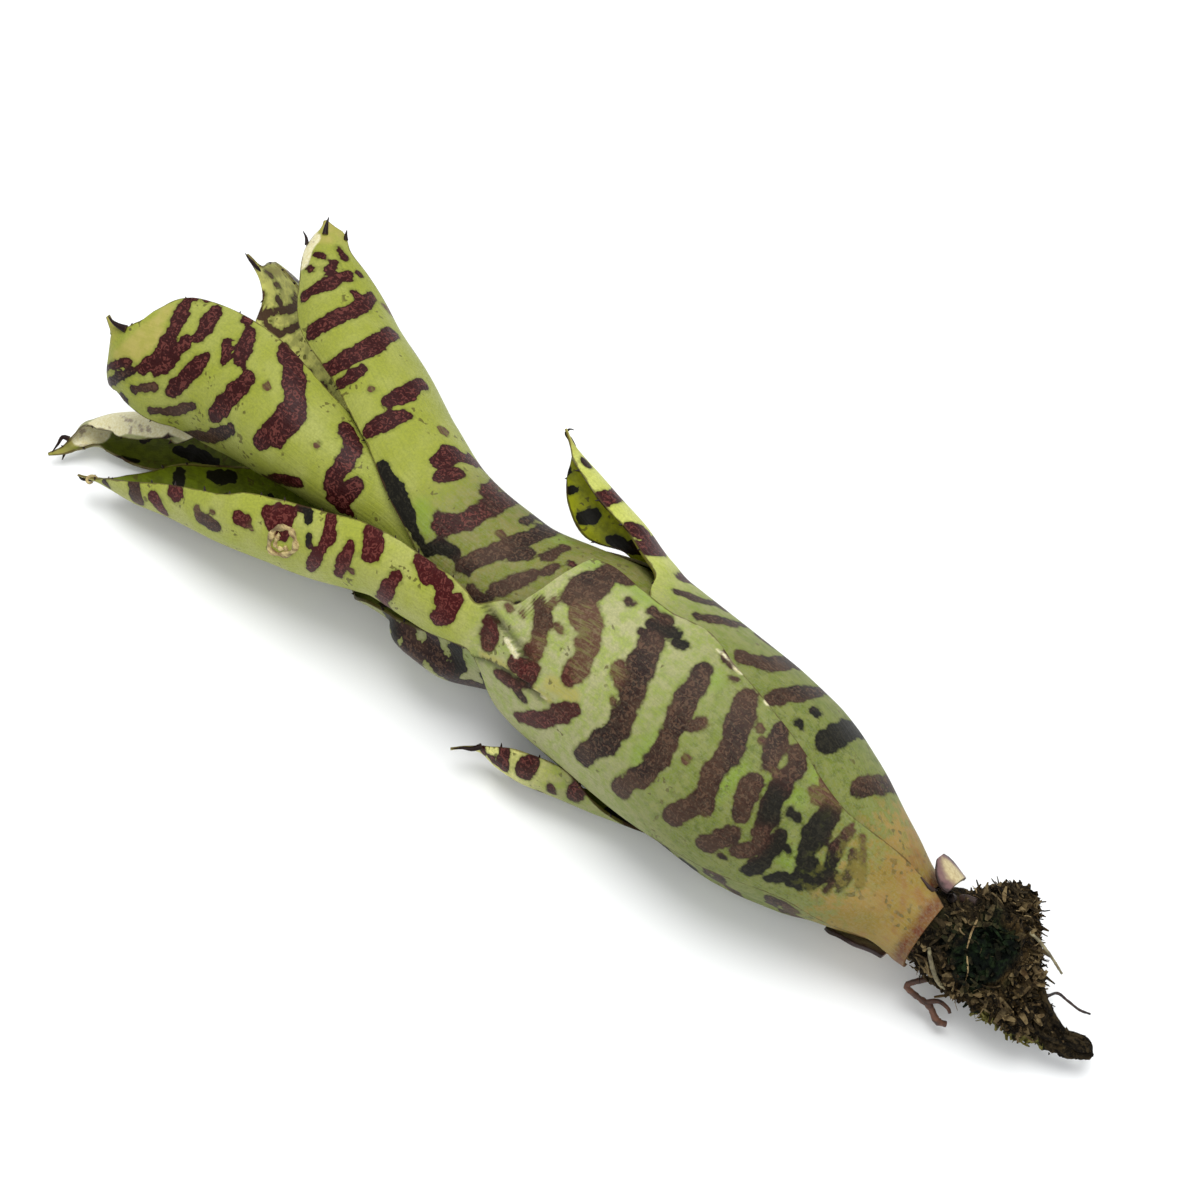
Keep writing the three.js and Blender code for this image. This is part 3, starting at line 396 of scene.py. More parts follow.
        (HAZY, 4, [(266, 325), (269, 328)]), (HAZY, 6, [(274, 335), (284, 333), (296, 326), (303, 320)]),
        (FAINT, 8, [(296, 296), (294, 300)]), (HAZY, 7, [(293, 270), (292, 278)]),
        (FAINT, 4, [(266, 272), (272, 276)]), (FAINT, 4, [(276, 285), (280, 287)]),
        (FAINT, 4, [(284, 272), (285, 276)]),
    ],
    "leaf_heart_a": [],
    "leaf_heart_b": [],
}

# Scars, dry patches and brighter green patches: kind, width and points in the same pixels
CREAM, TAN, BRIGHT = 0, 1, 2
STAINS = {
    "leaf_outer_left": [
        (CREAM, 6, [(508, 640), (513, 648), (518, 655)]),
        (TAN, 8, [(484, 654), (505, 664), (524, 678), (549, 700)]), (CREAM, 3, [(536, 690), (547, 698)]),
        (TAN, 18, [(552, 684), (572, 696)]),
        (BRIGHT, 24, [(596, 560), (640, 590), (660, 606)]), (BRIGHT, 22, [(690, 690), (712, 678)]),
        (BRIGHT, 20, [(770, 790), (796, 799)]), (BRIGHT, 24, [(780, 850), (800, 866)]),
        (BRIGHT, 22, [(845, 770), (859, 751)]),
        (BRIGHT, 24, [(715, 790), (735, 770)]), (BRIGHT, 26, [(640, 760), (660, 740)]),
        (CREAM, 4, [(735, 668), (740, 672)]), (CREAM, 5, [(766, 700), (769, 703)]),
        (CREAM, 3, [(718, 650), (730, 660), (742, 674)]),
        (TAN, 10, [(824, 780), (836, 800)]),
    ],
    "leaf_upper_left": [
        (TAN, 26, [(135, 348), (152, 332)]), (TAN, 20, [(120, 358), (140, 342)]),
        (TAN, 12, [(168, 310), (150, 330)]),
    ],
    "leaf_upper_right": [
        (TAN, 8, [(304, 248), (316, 240), (330, 240)]), (BRIGHT, 22, [(545, 520), (560, 540)]),
        (CREAM, 17, [(303, 262), (306, 250), (313, 240)]), (BRIGHT, 18, [(420, 506), (428, 528)]),
    ],
    "leaf_back_right": [(TAN, 12, [(268, 272), (286, 270)])],
    "leaf_floor": [
        (CREAM, 30, [(84, 432), (100, 428), (130, 420), (160, 424)]), (CREAM, 20, [(176, 426), (190, 432)]),
        (CREAM, 16, [(100, 420), (124, 412), (150, 412)]),
        (TAN, 12, [(74, 440), (92, 432)]), (BRIGHT, 12, [(468, 656), (470, 662)]),
    ],
}

TIP_SPINES = {
    "leaf_upper_left": [(1.3, [(126, 329), (119, 326), (113, 322), (108, 316)])],
    "leaf_upper_right": [
        (1.0, [(325, 235), (326, 228), (327, 223), (329, 217)]),
        (0.7, [(305, 243), (306, 237), (303, 231)]),
        (0.8, [(346, 240), (346, 235), (347, 230)]),
    ],
    "leaf_back_right": [(1.1, [(262, 270), (256, 266), (250, 260), (245, 253)])],
    "leaf_floor": [
        (0.9, [(70, 437), (63, 437), (58, 444), (52, 452)]),
        (1.0, [(70, 446), (66, 451), (62, 460)]),
    ],
    "leaf_outer_left": [(1.2, [(96, 477), (88, 479), (82, 479), (78, 475)])],
    "leaf_right_spur": [(1.0, [(573, 447), (570, 439), (566, 433), (570, 429), (574, 430)])],
    "leaf_low_left": [(1.0, [(482, 745), (472, 749), (463, 748), (452, 749)])],
}

# Creases on the outer leaf where its blade goes on as a fold of the sheath, raised a little and darkened with
# painted shade: the side that stands out, and points in the same pixels
FOLDS = {
    "leaf_outer_left": [
        (1, [(479, 601), (490, 612), (502, 627), (514, 641), (524, 656), (530, 664)]),
        (-1, [(470, 655), (486, 658), (504, 667), (524, 680), (547, 701)]),
    ],
}
FOLD_HEIGHT = 0.5
# Pixels of the dark strip along the crack at the outer sheath's foot, painted shade of the crack
CRACK_SHADE_PIXELS = [(921, 877), (929, 887), (940, 895), (955, 899), (968, 899), (976, 902)]

CALLUS_PIXEL = (283, 541)
CURL_PIXEL = (92, 484)

# The root clump: [x, y, z, half width, half height], from inside the sheaths' feet to the tail's end
CLUMP = [
    [-40.4, 0.6, 14.9, 5.9, 5.9],
    [-43.8, -0.2, 14.2, 6.9, 6.8], [-45.2, -1.4, 13.8, 8.2, 7.6], [-47.2, -2.8, 13.0, 9.4, 8.3],
    [-49.4, -3.7, 12.6, 9.9, 8.5], [-51.6, -4.0, 12.1, 9.9, 8.3], [-53.8, -3.4, 11.5, 8.3, 7.6],
    [-56.0, -2.3, 10.6, 7.3, 6.7], [-58.2, -1.2, 9.6, 5.8, 5.6], [-60.4, -0.4, 8.5, 4.2, 4.3],
    [-62.8, 0.1, 7.3, 3.2, 3.1], [-65.2, -0.3, 6.2, 2.5, 2.3], [-67.6, -1.0, 5.3, 2.2, 1.8],
    [-69.8, -1.6, 4.8, 1.9, 1.4], [-71.4, -2.1, 4.9, 1.2, 1.0], [-72.3, -2.3, 5.3, 0.6, 0.5],
]
STRANDS = {
    "root_reddish": {
        "slot": "root_red",
        "path": [
            [-48.6, 3.2, 8.4], [-46.2, 6.0, 8.2], [-44.7, 8.4, 7.4], [-46.6, 8.2, 6.2], [-49.0, 7.7, 5.0],
            [-51.4, 8.2, 3.4], [-52.4, 7.6, 3.0],
        ],
        "radius": [0.45, 0.5, 0.5, 0.5, 0.55, 0.65, 0.5],
    },
    "root_dark": {
        "slot": "root_dark",
        "path": [
            [-58.0, -3.0, 9.8], [-61.9, -4.0, 9.6], [-62.6, -5.1, 9.8], [-64.6, -5.6, 9.0],
            [-66.9, -5.9, 8.4],
            [-68.3, -6.6, 8.0],
        ],
        "radius": [0.3, 0.26, 0.24, 0.22, 0.22, 0.18],
    },
    "straw_near": {
        "slot": "straw",
        "path": [
            [-44.9, 5.6, 18.6], [-46.6, 6.5, 16.2], [-48.6, 6.8, 13.2], [-49.9, 5.8, 10.8], [-50.6, 4.4, 9.4],
        ],
        "radius": [0.3, 0.36, 0.36, 0.32, 0.28],
    },
    "straw_far": {
        "slot": "straw",
        "path": [
            [-50.9, -5.6, 18.4], [-53.0, -6.6, 18.0], [-55.6, -7.2, 16.9], [-58.9, -7.3, 14.6],
            [-61.6, -7.1, 12.4],
        ],
        "radius": [0.24, 0.28, 0.28, 0.26, 0.2],
    },
}


# The fork of the reddish root
BRANCH = [[-48.2, 7.9, 5.6], [-49.6, 6.4, 5.6], [-51.2, 6.0, 4.8], [-52.0, 6.3, 4.4]]


# Curves
def slopes(xs, ys):
    step = np.diff(ys) / np.diff(xs)
    m = np.empty(len(xs))
    m[0] = step[0]
    m[-1] = step[-1]
    for i in range(1, len(xs) - 1):
        before, after = step[i - 1], step[i]
        w1 = 2 * (xs[i + 1] - xs[i]) + xs[i] - xs[i - 1]
        w2 = xs[i + 1] - xs[i] + 2 * (xs[i] - xs[i - 1])
        m[i] = (w1 + w2) / (w1 / before + w2 / after) if before * after > 0 else 0.0
    return m


def hermite(xs, ys, m, x):
    x = np.asarray(x, float)
    k = np.clip(np.searchsorted(xs, x, side="right") - 1, 0, len(xs) - 2)
    h = xs[k + 1] - xs[k]
    t = (x - xs[k]) / h
    if ys.ndim == 2:
        h, t = h[..., None], t[..., None]
    t = np.clip(t, 0, 1)
    rise = t * t * (3 - 2 * t)
    bend = h * m[k] * t * (1 - t) ** 2 - h * m[k + 1] * t * t * (1 - t)
    return ys[k] * (1 - rise) + ys[k + 1] * rise + bend


def smooth(xs, ys):
    xs = np.asarray(xs, float)
    ys = np.asarray(ys, float)
    m = slopes(xs, ys)
    return lambda x: hermite(xs, ys, m, x)


def through(s, places):
    step = np.diff(places, axis=0) / np.diff(s)[:, None]
    m = np.empty_like(places)
    m[0] = step[0]
    m[-1] = step[-1]
    before = np.diff(s)[:-1, None]
    after = np.diff(s)[1:, None]
    m[1:-1] = (step[:-1] * after + step[1:] * before) / (before + after)
    return lambda u: hermite(s, places, m, u)


def ramp(a, b, x):
    t = np.clip((x - a) / (b - a), 0, 1)
    return t * t * (3 - 2 * t)


def distances(path):
    """How far each point of a path lies from its start, along the path."""
    return np.concatenate([[0], np.cumsum(np.linalg.norm(np.diff(path, axis=0), axis=1))])


def unit(v):
    return v / np.maximum(np.linalg.norm(v, axis=-1, keepdims=True), 1e-9)


tube_radius = smooth(TUBE_X, TUBE_RADIUS)
axis_y = smooth(AXIS_X, AXIS_Y)
axis_z = smooth(AXIS_X, AXIS_Z)
lean = smooth(LEAN_X, LEAN_Y)


# Leaves
def sheath_points(leaf, x, angle):
    x, angle = np.broadcast_arrays(np.asarray(x, float), np.asarray(angle, float))
    layer = leaf["layer"]
    y = axis_y(x) + (lean(np.clip(x, LEAN_X[0], LEAN_X[-1])) if layer >= LEAN_FROM_LAYER else 0.0)
    z = axis_z(x)
    lift = np.zeros_like(x)
    for x0, x1, x2, x3, t0, t1, t2, t3, amount in leaf["lift"]:
        along = ramp(x0, x1, x) * (1 - ramp(x2, x3, x))
        lift += amount * along * ramp(t0, t1, angle) * (1 - ramp(t2, t3, angle))
    a = np.radians(angle)
    down = np.maximum(-np.cos(a), 0.001)
    r = np.minimum(tube_radius(x), z / down) - LAYER_STEP * layer + lift
    return np.stack([x, y + r * np.sin(a), z + r * np.cos(a)], -1), r


def leaf_surface(leaf):
    places, values = [], []
    for x, angle, minus, plus in leaf["sheath"]:
        place, r = sheath_points(leaf, x, angle)
        places.append(place)
        values.append([angle, minus, plus, r * math.radians(minus), r * math.radians(plus), 1.0])
    for x, y, z, r, angle, minus, plus in leaf["blade"]:
        a = math.radians(angle)
        places.append(np.array([x, y + r * math.sin(a), z + r * math.cos(a)]))
        values.append([angle, minus, plus, r * math.radians(minus), r * math.radians(plus), 0.0])
    places = np.array(places)
    values = np.array(values, float)
    s = distances(places)
    line = through(s, places)
    rows = int(s[-1] / (ROW_STEP * leaf.get("step", 1.0)))
    columns = int(np.max(values[:, 3] + values[:, 4]) / (COLUMN_STEP * leaf.get("step", 1.0)) / 2) * 2
    u = np.linspace(0, s[-1], rows + 1)
    middle = line(u)
    tangent = unit(line(np.minimum(u + 0.05, s[-1])) - line(np.maximum(u - 0.05, 0)))
    angle, minus, plus, wide_minus, wide_plus, sheath = (smooth(s, values[:, k])(u) for k in range(6))
    tangent = unit(tangent * (1 - sheath[:, None]) + np.array([1.0, 0, 0]) * sheath[:, None])
    a = np.radians(angle)
    facing = np.stack([0 * a, np.sin(a), np.cos(a)], -1)
    facing = unit(facing - tangent * np.sum(facing * tangent, -1, keepdims=True))
    side = np.cross(facing, tangent)
    t = np.linspace(-1, 1, columns + 1)
    near = t[None, :] < 0
    arc = np.where(near, minus[:, None], plus[:, None])
    wide = np.where(near, wide_minus[:, None], wide_plus[:, None])
    curl = np.minimum(np.radians(arc), wide / TIGHTEST_CURL)
    r = (wide / np.maximum(curl, 0.001))[..., None]
    turn = (t[None, :] * curl)[..., None]
    blade = middle[:, None] + side[:, None] * r * np.sin(turn) - facing[:, None] * r * (1 - np.cos(turn))
    blade_out = facing[:, None] * np.cos(turn) + side[:, None] * np.sin(turn)
    round_angle = angle[:, None] + t[None, :] * arc
    tube, _ = sheath_points(leaf, middle[:, :1], round_angle)
    b = np.radians(round_angle)
    tube_out = np.stack([0 * b, np.sin(b), np.cos(b)], -1)
    share = ramp(0, 1, sheath)[:, None, None]
    outer = blade * (1 - share) + tube * share
    out = unit(blade_out * (1 - share) + tube_out * share)
    narrow = np.clip(np.minimum(wide_minus, wide_plus) / 2, 0.6, 1)[:, None]
    thick = (BLADE_THICKNESS + (MARGIN_THICKNESS - BLADE_THICKNESS) * t[None, :] ** 2) * narrow
    across = np.where(near, -1, 1) * np.abs(t[None, :]) * wide
    edge = (1 - np.abs(t[None, :])) * wide
    return {
        "outer": outer, "inner": outer - out * thick[..., None], "out": out, "s": u, "across": across,
        "edge": edge, "sheath": sheath, "length": s[-1], "sheath_end": s[len(leaf["sheath"]) - 1],
        "wide": wide,
    }


# Pixels of the picture
def project(points):
    v = points - EYE
    depth = -(v @ BACK)
    return np.stack([
        PICTURE / 2 + PIXELS_PER_SLOPE * (v @ RIGHT) / depth,
        PICTURE / 2 - PIXELS_PER_SLOPE * (v @ UP) / depth,
        depth,
    ], -1)


def towards_eye(points, normals):
    return np.sum(unit(EYE - points) * normals, -1)


def spaced(pixels, step):
    pixels = np.asarray(pixels, float)
    s = distances(pixels)
    count = max(2, int(s[-1] / step) + 1)
    u = np.linspace(0, s[-1], count)
    return np.stack([np.interp(u, s, pixels[:, 0]), np.interp(u, s, pixels[:, 1])], -1)


def pixel_ray(x, y):
    across = RIGHT * (x - PICTURE / 2) / PIXELS_PER_SLOPE
    down = UP * (y - PICTURE / 2) / PIXELS_PER_SLOPE
    return unit(across - down - BACK)


class Skin:
    """A leaf's surface with what is needed to find places on it."""

    def __init__(self, surface):
        self.surface = surface
        self.n, self.m = surface["outer"].shape[:2]
        self.quads = (self.n - 1) * (self.m - 1)
        self.points = np.concatenate([surface["outer"].reshape(-1, 3), surface["inner"].reshape(-1, 3)])
        self.tree = BVHTree.FromPolygons(self.points.tolist(), grid_faces(self.n, self.m))
        self.normals = np.concatenate([surface["out"].reshape(-1, 3), -surface["out"].reshape(-1, 3)])
        self.flat = project(self.points)
        self.turned = towards_eye(self.points, self.normals) <= 0.03

    def land(self, x, y):
        """The place, face (0 outer, 1 inner), row and column under a pixel, or the nearest ones."""
        place, _, k, _ = self.tree.ray_cast(Vector(EYE), Vector(pixel_ray(x, y)))
        if place is not None:
            if k < 2 * self.quads:
                face, cell = divmod(k, self.quads)
                row, column = divmod(cell, self.m - 1)
            else:
                strip, row = divmod(k - 2 * self.quads, self.n - 1)
                face, column = 0, 0 if strip == 0 else self.m - 2
            return np.array(place), face, min(row, self.n - 2), column
        away = np.hypot(self.flat[:, 0] - x, self.flat[:, 1] - y)
        cost = away + 0.03 * self.flat[:, 2] + 500.0 * self.turned
        k = int(np.argmin(cost))
        face, cell = divmod(k, self.n * self.m)
        row, column = divmod(cell, self.m)
        return self.points[k], face, min(row, self.n - 2), min(column, self.m - 2)


def solid_tree():
    """One search tree of all the plant's solids, in millimetres."""
    points, faces = [], []
    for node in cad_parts.values():
        start = len(points)
        points.extend((vertex.co / MM) for vertex in node.data.vertices)
        faces.extend([start + k for k in polygon.vertices] for polygon in node.data.polygons)
    return BVHTree.FromPolygons(points, faces)


def seen_cells(skin, tree):
    """Which cells of both faces the camera sees, with a rim of a few cells more."""
    seen = np.zeros((2, skin.n, skin.m), bool)
    for face, grid, sign in ((0, skin.surface["outer"], 1), (1, skin.surface["inner"], -1)):
        for i in range(0, skin.n, 2):
            for j in range(0, skin.m, 2):
                normal = skin.surface["out"][i, j] * sign
                start = grid[i, j] + normal * 0.6
                way = unit(EYE - start)
                if np.dot(way, normal) > 0.0 and tree.ray_cast(Vector(start), Vector(way))[0] is None:
                    seen[face, max(i - 3, 0):i + 4, max(j - 2, 0):j + 3] = True
    return seen


def seen_marks(name, skin, rng):
    """Dark spots that the camera sees, and what goes on round the leaf from them."""
    found = []
    for tone, width, pixels in MARKS[name]:
        run = []
        steps = spaced(pixels, SPOT_STEP)
        swell = rng.uniform(0, 6.28)
        for k, (x, y) in enumerate(steps):
            place, face, row, column = skin.land(x, y)
            depth = float(-np.dot(place - EYE, BACK))
            share = (k + 0.5) / len(steps)
            taper = 0.8 + 0.28 * math.sin(math.pi * share) ** 0.6 + 0.08 * math.sin(swell + 0.55 * k)
            radius = (width / 2 * (taper if len(steps) > 4 else 1.0) + MARK_SPREAD) * depth / PIXELS_PER_SLOPE
            run.append((place, radius, tone, face, row, column))
        found.extend(run)
        for end in (run[0], run[-1]):
            found.extend(carried_on(skin, end, rng))
    return found


def carried_on(skin, end, rng):
    """A band that reaches the edge of what the camera sees goes on behind it."""
    place, radius, tone, face, row, column = end
    outer, out = skin.surface["outer"], skin.surface["out"]
    if face == 1 or towards_eye(outer[row, column], out[row, column]) > 0.34:
        return []
    ahead = min(column + 3, skin.m - 1)
    behind = max(column - 3, 0)
    facing_ahead = towards_eye(outer[row, ahead], out[row, ahead])
    facing_behind = towards_eye(outer[row, behind], out[row, behind])
    step = 1 if facing_ahead < facing_behind else -1
    slope = rng.uniform(-0.3, 0.3)
    run, more = [], int(rng.uniform(6, 17))
    for k in range(1, more):
        j = column + step * k
        i = int(row + slope * k + 1.2 * math.sin(0.5 * k))
        if not (0 <= j < skin.m and 0 <= i < skin.n):
            break
        taper = min(1.0, 0.35 + 0.16 * (more - k))
        run.append((outer[i, j], radius * taper * rng.uniform(0.9, 1.1), tone, 0, i, j))
    return run


def hidden_marks(skin, seen, known, rng):
    """Bands for the sides that the camera doesn't see, placed by a seeded rule."""
    found = []
    surface = skin.surface
    for face, grid in ((0, surface["outer"]), (1, surface["inner"])):
        taken = [mark for mark in known if mark[3] == face]
        places = np.array([mark[0] for mark in taken]).reshape(-1, 3)
        radii = np.array([mark[1] for mark in taken])
        s = rng.uniform(2, 5)
        while s < surface["length"] - 4:
            t = -1.0 + rng.uniform(0, 0.3)
            while t < 1.0:
                row = min(skin.n - 1, int(s / surface["length"] * (skin.n - 1)))
                span = max(float(surface["wide"][row, 0] + surface["wide"][row, -1]) / 2, 2.0)
                run = rng.uniform(4, 14) / span
                radius = rng.uniform(1.1, 1.9)
                tilt = rng.uniform(-0.25, 0.25)
                grey = surface["sheath"][row] > 0.5
                tone = rng.choice([HAZY, HAZY, BLACK] if grey or face == 1 else [MAROON, MAROON, HAZY])
                band, u = [], t
                while u < min(t + run, 1.0):
                    place = s + tilt * (u - t) * span + 0.8 * math.sin(3.0 * u + s)
                    i = int(np.clip(place / surface["length"] * (skin.n - 1), 0, skin.n - 1))
                    j = int(np.clip((u + 1) / 2 * (skin.m - 1), 0, skin.m - 1))
                    free = not seen[face, i, j]
                    if free and len(places):
                        gap = np.linalg.norm(places - grid[i, j], axis=1) - radii - radius
                        free = float(gap.min()) > 0.9
                    if free:
                        band.append((grid[i, j], radius * rng.uniform(0.9, 1.1), tone, face, i, j))
                    u += 0.7 / span
                if len(band) > 2:
                    found.extend(band)
                t += run + rng.uniform(3.0, 6.5) / span
            s += rng.uniform(5.5, 8.5)
    return found


def nearest_rim(points, marks):
    """For every point: distance to the nearest mark's rim, and the tones around it, blended."""
    distance = np.full(len(points), 9.0)
    tones = np.zeros((len(points), 3))
    if not marks:
        return distance, tones
    centres = np.array([mark[0] for mark in marks])
    radii = np.array([mark[1] for mark in marks])
    kinds = np.eye(4)[[int(mark[2]) for mark in marks]][:, 1:]
    for start in range(0, len(points), 3000):
        chunk = points[start:start + 3000]
        d = np.linalg.norm(chunk[:, None] - centres[None], axis=2) - radii
        distance[start:start + 3000] = d.min(axis=1)
        weight = np.exp(-np.clip(d - d.min(axis=1, keepdims=True), 0, 20) / TONE_BLEND)
        tones[start:start + 3000] = (weight @ kinds) / weight.sum(axis=1, keepdims=True)
    return np.minimum(distance, 9.0), tones


def on_both_faces(skin, marks):
    """Distances and tones for the outer face's points, then for the inner face's."""
    half = skin.n * skin.m
    parts = []
    for face in (0, 1):
        own = [mark for mark in marks if mark[3] == face]
        parts.append(nearest_rim(skin.points[face * half:(face + 1) * half], own))
    return np.concatenate([parts[0][0], parts[1][0]]), np.concatenate([parts[0][1], parts[1][1]])


def stains(name, skin):
    """Cream scars, tan patches and bright green patches, 0 to 1 at every point."""
    values = np.zeros((len(skin.points), 3))
    for kind, width, pixels in STAINS.get(name, []):
        marks = []
        for x, y in spaced(pixels, SPOT_STEP):
            place, face, row, column = skin.land(x, y)
            radius = width / 2 * float(-np.dot(place - EYE, BACK)) / PIXELS_PER_SLOPE
            marks.append((place, radius, 0, face, row, column))
        distance, _ = on_both_faces(skin, marks)
        soft = 0.35 if kind == CREAM else 0.9
        values[:, kind] = np.maximum(values[:, kind], np.clip(0.5 - distance / soft / 2, 0, 1))
    return values


def creases(name, skin):
    """At every point: how far the leaf is pushed out, and how dark the painted shade of its crease is."""
    push = np.zeros(len(skin.points))
    shade = np.zeros(len(skin.points))
    for side, pixels in FOLDS.get(name, []):
        line = spaced(pixels, 2.0)
        way = unit(np.gradient(line, axis=0))
        gap = skin.flat[:, None, :2] - line[None]
        nearest = np.argmin(np.sum(gap ** 2, -1), axis=1)
        gap = gap[np.arange(len(gap)), nearest]
        along = way[nearest]
        across = side * (along[:, 0] * gap[:, 1] - along[:, 1] * gap[:, 0])
        beyond = np.maximum(np.linalg.norm(gap, axis=1) - np.abs(across), 0)
        end = np.minimum(nearest, len(line) - 1 - nearest) / 6
        fade = np.clip(0.25 + end, 0, 1) * (1 - ramp(0, 7, beyond))
        fade = fade * (towards_eye(skin.points, skin.normals) > 0)
        push += fade * np.where(across > 0, 1 - ramp(0, 22, across), -0.5 * (1 - ramp(0, 12, -across)))
        # Painted shade: darkest at the fold line, fading fast on the raised side and more slowly on the lower
        # side
        dark = np.where(across > 0, 1 - ramp(0, 2.5, across), 1 - ramp(0, 9, -across))
        shade = np.maximum(shade, fade * dark)
    return push * FOLD_HEIGHT, shade


# Paint of a piece that has no bands: far from any mark and any margin, no scurf, nothing else
UNMARKED = (9.0, 9.0, 0.0)
PLAIN = (0.0, 0.0, 0.0)


# Meshes
class Shape:
    """Points, faces and per-point paint of one piece."""

    LABELS = ("leaf", "paint", "dress", "tone", "stain")

    def __init__(self):
        self.points, self.faces = [], []
        self.values = {label: [] for label in self.LABELS}
        self.count = 0

    def add(self, points, faces, leaf, paint, dress, tone=PLAIN, stain=PLAIN):
        for label, values in zip(self.LABELS, (leaf, paint, dress, tone, stain)):
            self.values[label].append(np.broadcast_to(np.asarray(values, float), (len(points), 3)))
        self.points.append(np.asarray(points, float))
        self.faces.extend(tuple(int(k) + self.count for k in face) for face in faces)
        self.count += len(points)

    def build(self, name, material, sharp=50):
        mesh = bpy.data.meshes.new(name)
        mesh.from_pydata((np.concatenate(self.points) * MM).tolist(), [], self.faces)
        for label in self.LABELS:
            attribute = mesh.attributes.new(label, "FLOAT_VECTOR", "POINT")
            values = np.concatenate(self.values[label]).astype(np.float32)
            attribute.data.foreach_set("vector", values.ravel())
        mesh.shade_smooth()
        mesh.set_sharp_from_angle(angle=math.radians(sharp))
        mesh.materials.append(material)
        mesh.update()
        piece = bpy.data.objects.new(name, mesh)
        bpy.context.scene.collection.objects.link(piece)
        return piece


def grid_faces(n, m):
    """Quads of a closed shell: outer grid, inner grid, two margins and two ends."""
    index = np.arange(n * m).reshape(n, m)
    other = index + n * m
    a, b, c, d = index[:-1, :-1], index[1:, :-1], index[1:, 1:], index[:-1, 1:]
    faces = [np.stack([a, b, c, d], -1).reshape(-1, 4)]
    a, b, c, d = other[:-1, :-1], other[1:, :-1], other[1:, 1:], other[:-1, 1:]
    faces.append(np.stack([d, c, b, a], -1).reshape(-1, 4))
    for column, turned in ((0, True), (m - 1, False)):
        strip = np.stack([index[:-1, column], index[1:, column], other[1:, column], other[:-1, column]], -1)
        faces.append(strip[:, ::-1] if turned else strip)
    for row, turned in ((0, False), (n - 1, True)):
        strip = np.stack([index[row, :-1], index[row, 1:], other[row, 1:], other[row, :-1]], -1)
        faces.append(strip[:, ::-1] if turned else strip)
    return np.concatenate(faces).tolist()


def tube(path, radii, sides=6, closed_tip=True):
    """Points and faces of a round tapered tube through the path."""
    path = np.asarray(path, float)
    radii = np.asarray(radii, float)
    tangent = unit(np.gradient(path, axis=0))
    side = unit(np.cross(tangent[0], np.array([0.3, 0.5, 0.8])))
    points = []
    for k in range(len(path)):
        side = unit(side - tangent[k] * np.dot(side, tangent[k]))
        up = np.cross(tangent[k], side)
        a = np.linspace(0, 2 * math.pi, sides, endpoint=False)
        points.append(path[k] + radii[k] * (np.cos(a)[:, None] * side + np.sin(a)[:, None] * up))
    points = np.concatenate(points + [path[:1], path[-1:]])
    faces = []
    for k in range(len(path) - 1):
        for j in range(sides):
            n = (j + 1) % sides
            faces.append((k * sides + j, k * sides + n, (k + 1) * sides + n, (k + 1) * sides + j))
    last = (len(path) - 1) * sides
    for j in range(sides):
        n = (j + 1) % sides
        faces.append((len(points) - 2, n, j))
        faces.append((len(points) - 1, last + j, last + n))
    return points, faces


def spike(shape, root, tip, bend, radius, steps=5, sides=6, dark=(0.2, 1.0)):
    f = np.linspace(0, 1, steps + 1)[:, None]
    path = root * (1 - f) + tip * f + bend * f * (1 - f)
    radii = radius * (1 - f[:, 0]) ** 0.8 + 0.04
    points, faces = tube(path, radii, sides)
    darkness = dark[0] + (dark[1] - dark[0]) * f[:, 0] ** 0.6
    spine = np.concatenate([np.repeat(darkness, sides), [dark[0], dark[1]]])
    dress = np.stack([0 * spine, 0 * spine, spine], -1)
    shape.add(points, faces, points, UNMARKED, dress)


def margin_spines(shape, surface, leaf, seed):
    """Small spines on both margins of the blade, leaning to the tip."""
    rng = random.Random(seed)
    if not leaf["blade"]:
        return
    rows = len(surface["s"]) - 1
    for column, inward in ((0, 1), (-1, -2)):
        s = surface["sheath_end"] + rng.uniform(2, 5)
        while s < surface["length"] - 2.5:
            i = int(s / surface["length"] * rows)
            wide = surface["wide"][i, column]
            mid = (surface["outer"][i, column] + surface["inner"][i, column]) / 2
            away = unit(surface["outer"][i, column] - surface["outer"][i, inward])
            ahead = unit(surface["outer"][min(i + 2, rows), column] - surface["outer"][max(i - 2, 0), column])
            length = rng.uniform(0.35, 0.85) * min(1.0, 0.4 + wide / 6)
            tip = mid + away * length + ahead * length * rng.uniform(0.4, 0.9)
            spike(shape, mid - away * 0.3, tip, ahead * -0.12, rng.uniform(0.2, 0.3), 4, 5, (0.0, 1.0))
            s += rng.uniform(4.5, 11.0) * min(1.0, 0.45 + wide / 9)


def tip_spines(shape, surface, name):
    """The long dark spines at a leaf's tip."""
    flat = project(surface["outer"][-30:].reshape(-1, 3))
    for radius, pixels in TIP_SPINES.get(name, []):
        root_pixel = np.array(pixels[0], float)
        k = int(np.argmin(np.hypot(flat[:, 0] - root_pixel[0], flat[:, 1] - root_pixel[1])))
        root = surface["outer"][-30:].reshape(-1, 3)[k]
        depth = flat[k, 2]
        path = [root]
        for x, y in pixels[1:]:
            dx = (x - flat[k, 0]) * depth / PIXELS_PER_SLOPE
            dy = (y - flat[k, 1]) * depth / PIXELS_PER_SLOPE
            path.append(root + RIGHT * dx - UP * dy)
        path = np.array(path)
        s = distances(path)
        f = np.linspace(0, 1, 12)
        fine = through(s, path)(f * s[-1])
        radii = 0.5 * radius * (1 - f) ** 0.9 + 0.06
        points, faces = tube(fine, radii, 8)
        spine = np.concatenate([np.repeat(0.35 + 0.65 * ramp(0, 0.4, f), 8), [0.35, 1.0]])
        shape.add(points, faces, points, UNMARKED, np.stack([0 * spine, 0 * spine, spine], -1))


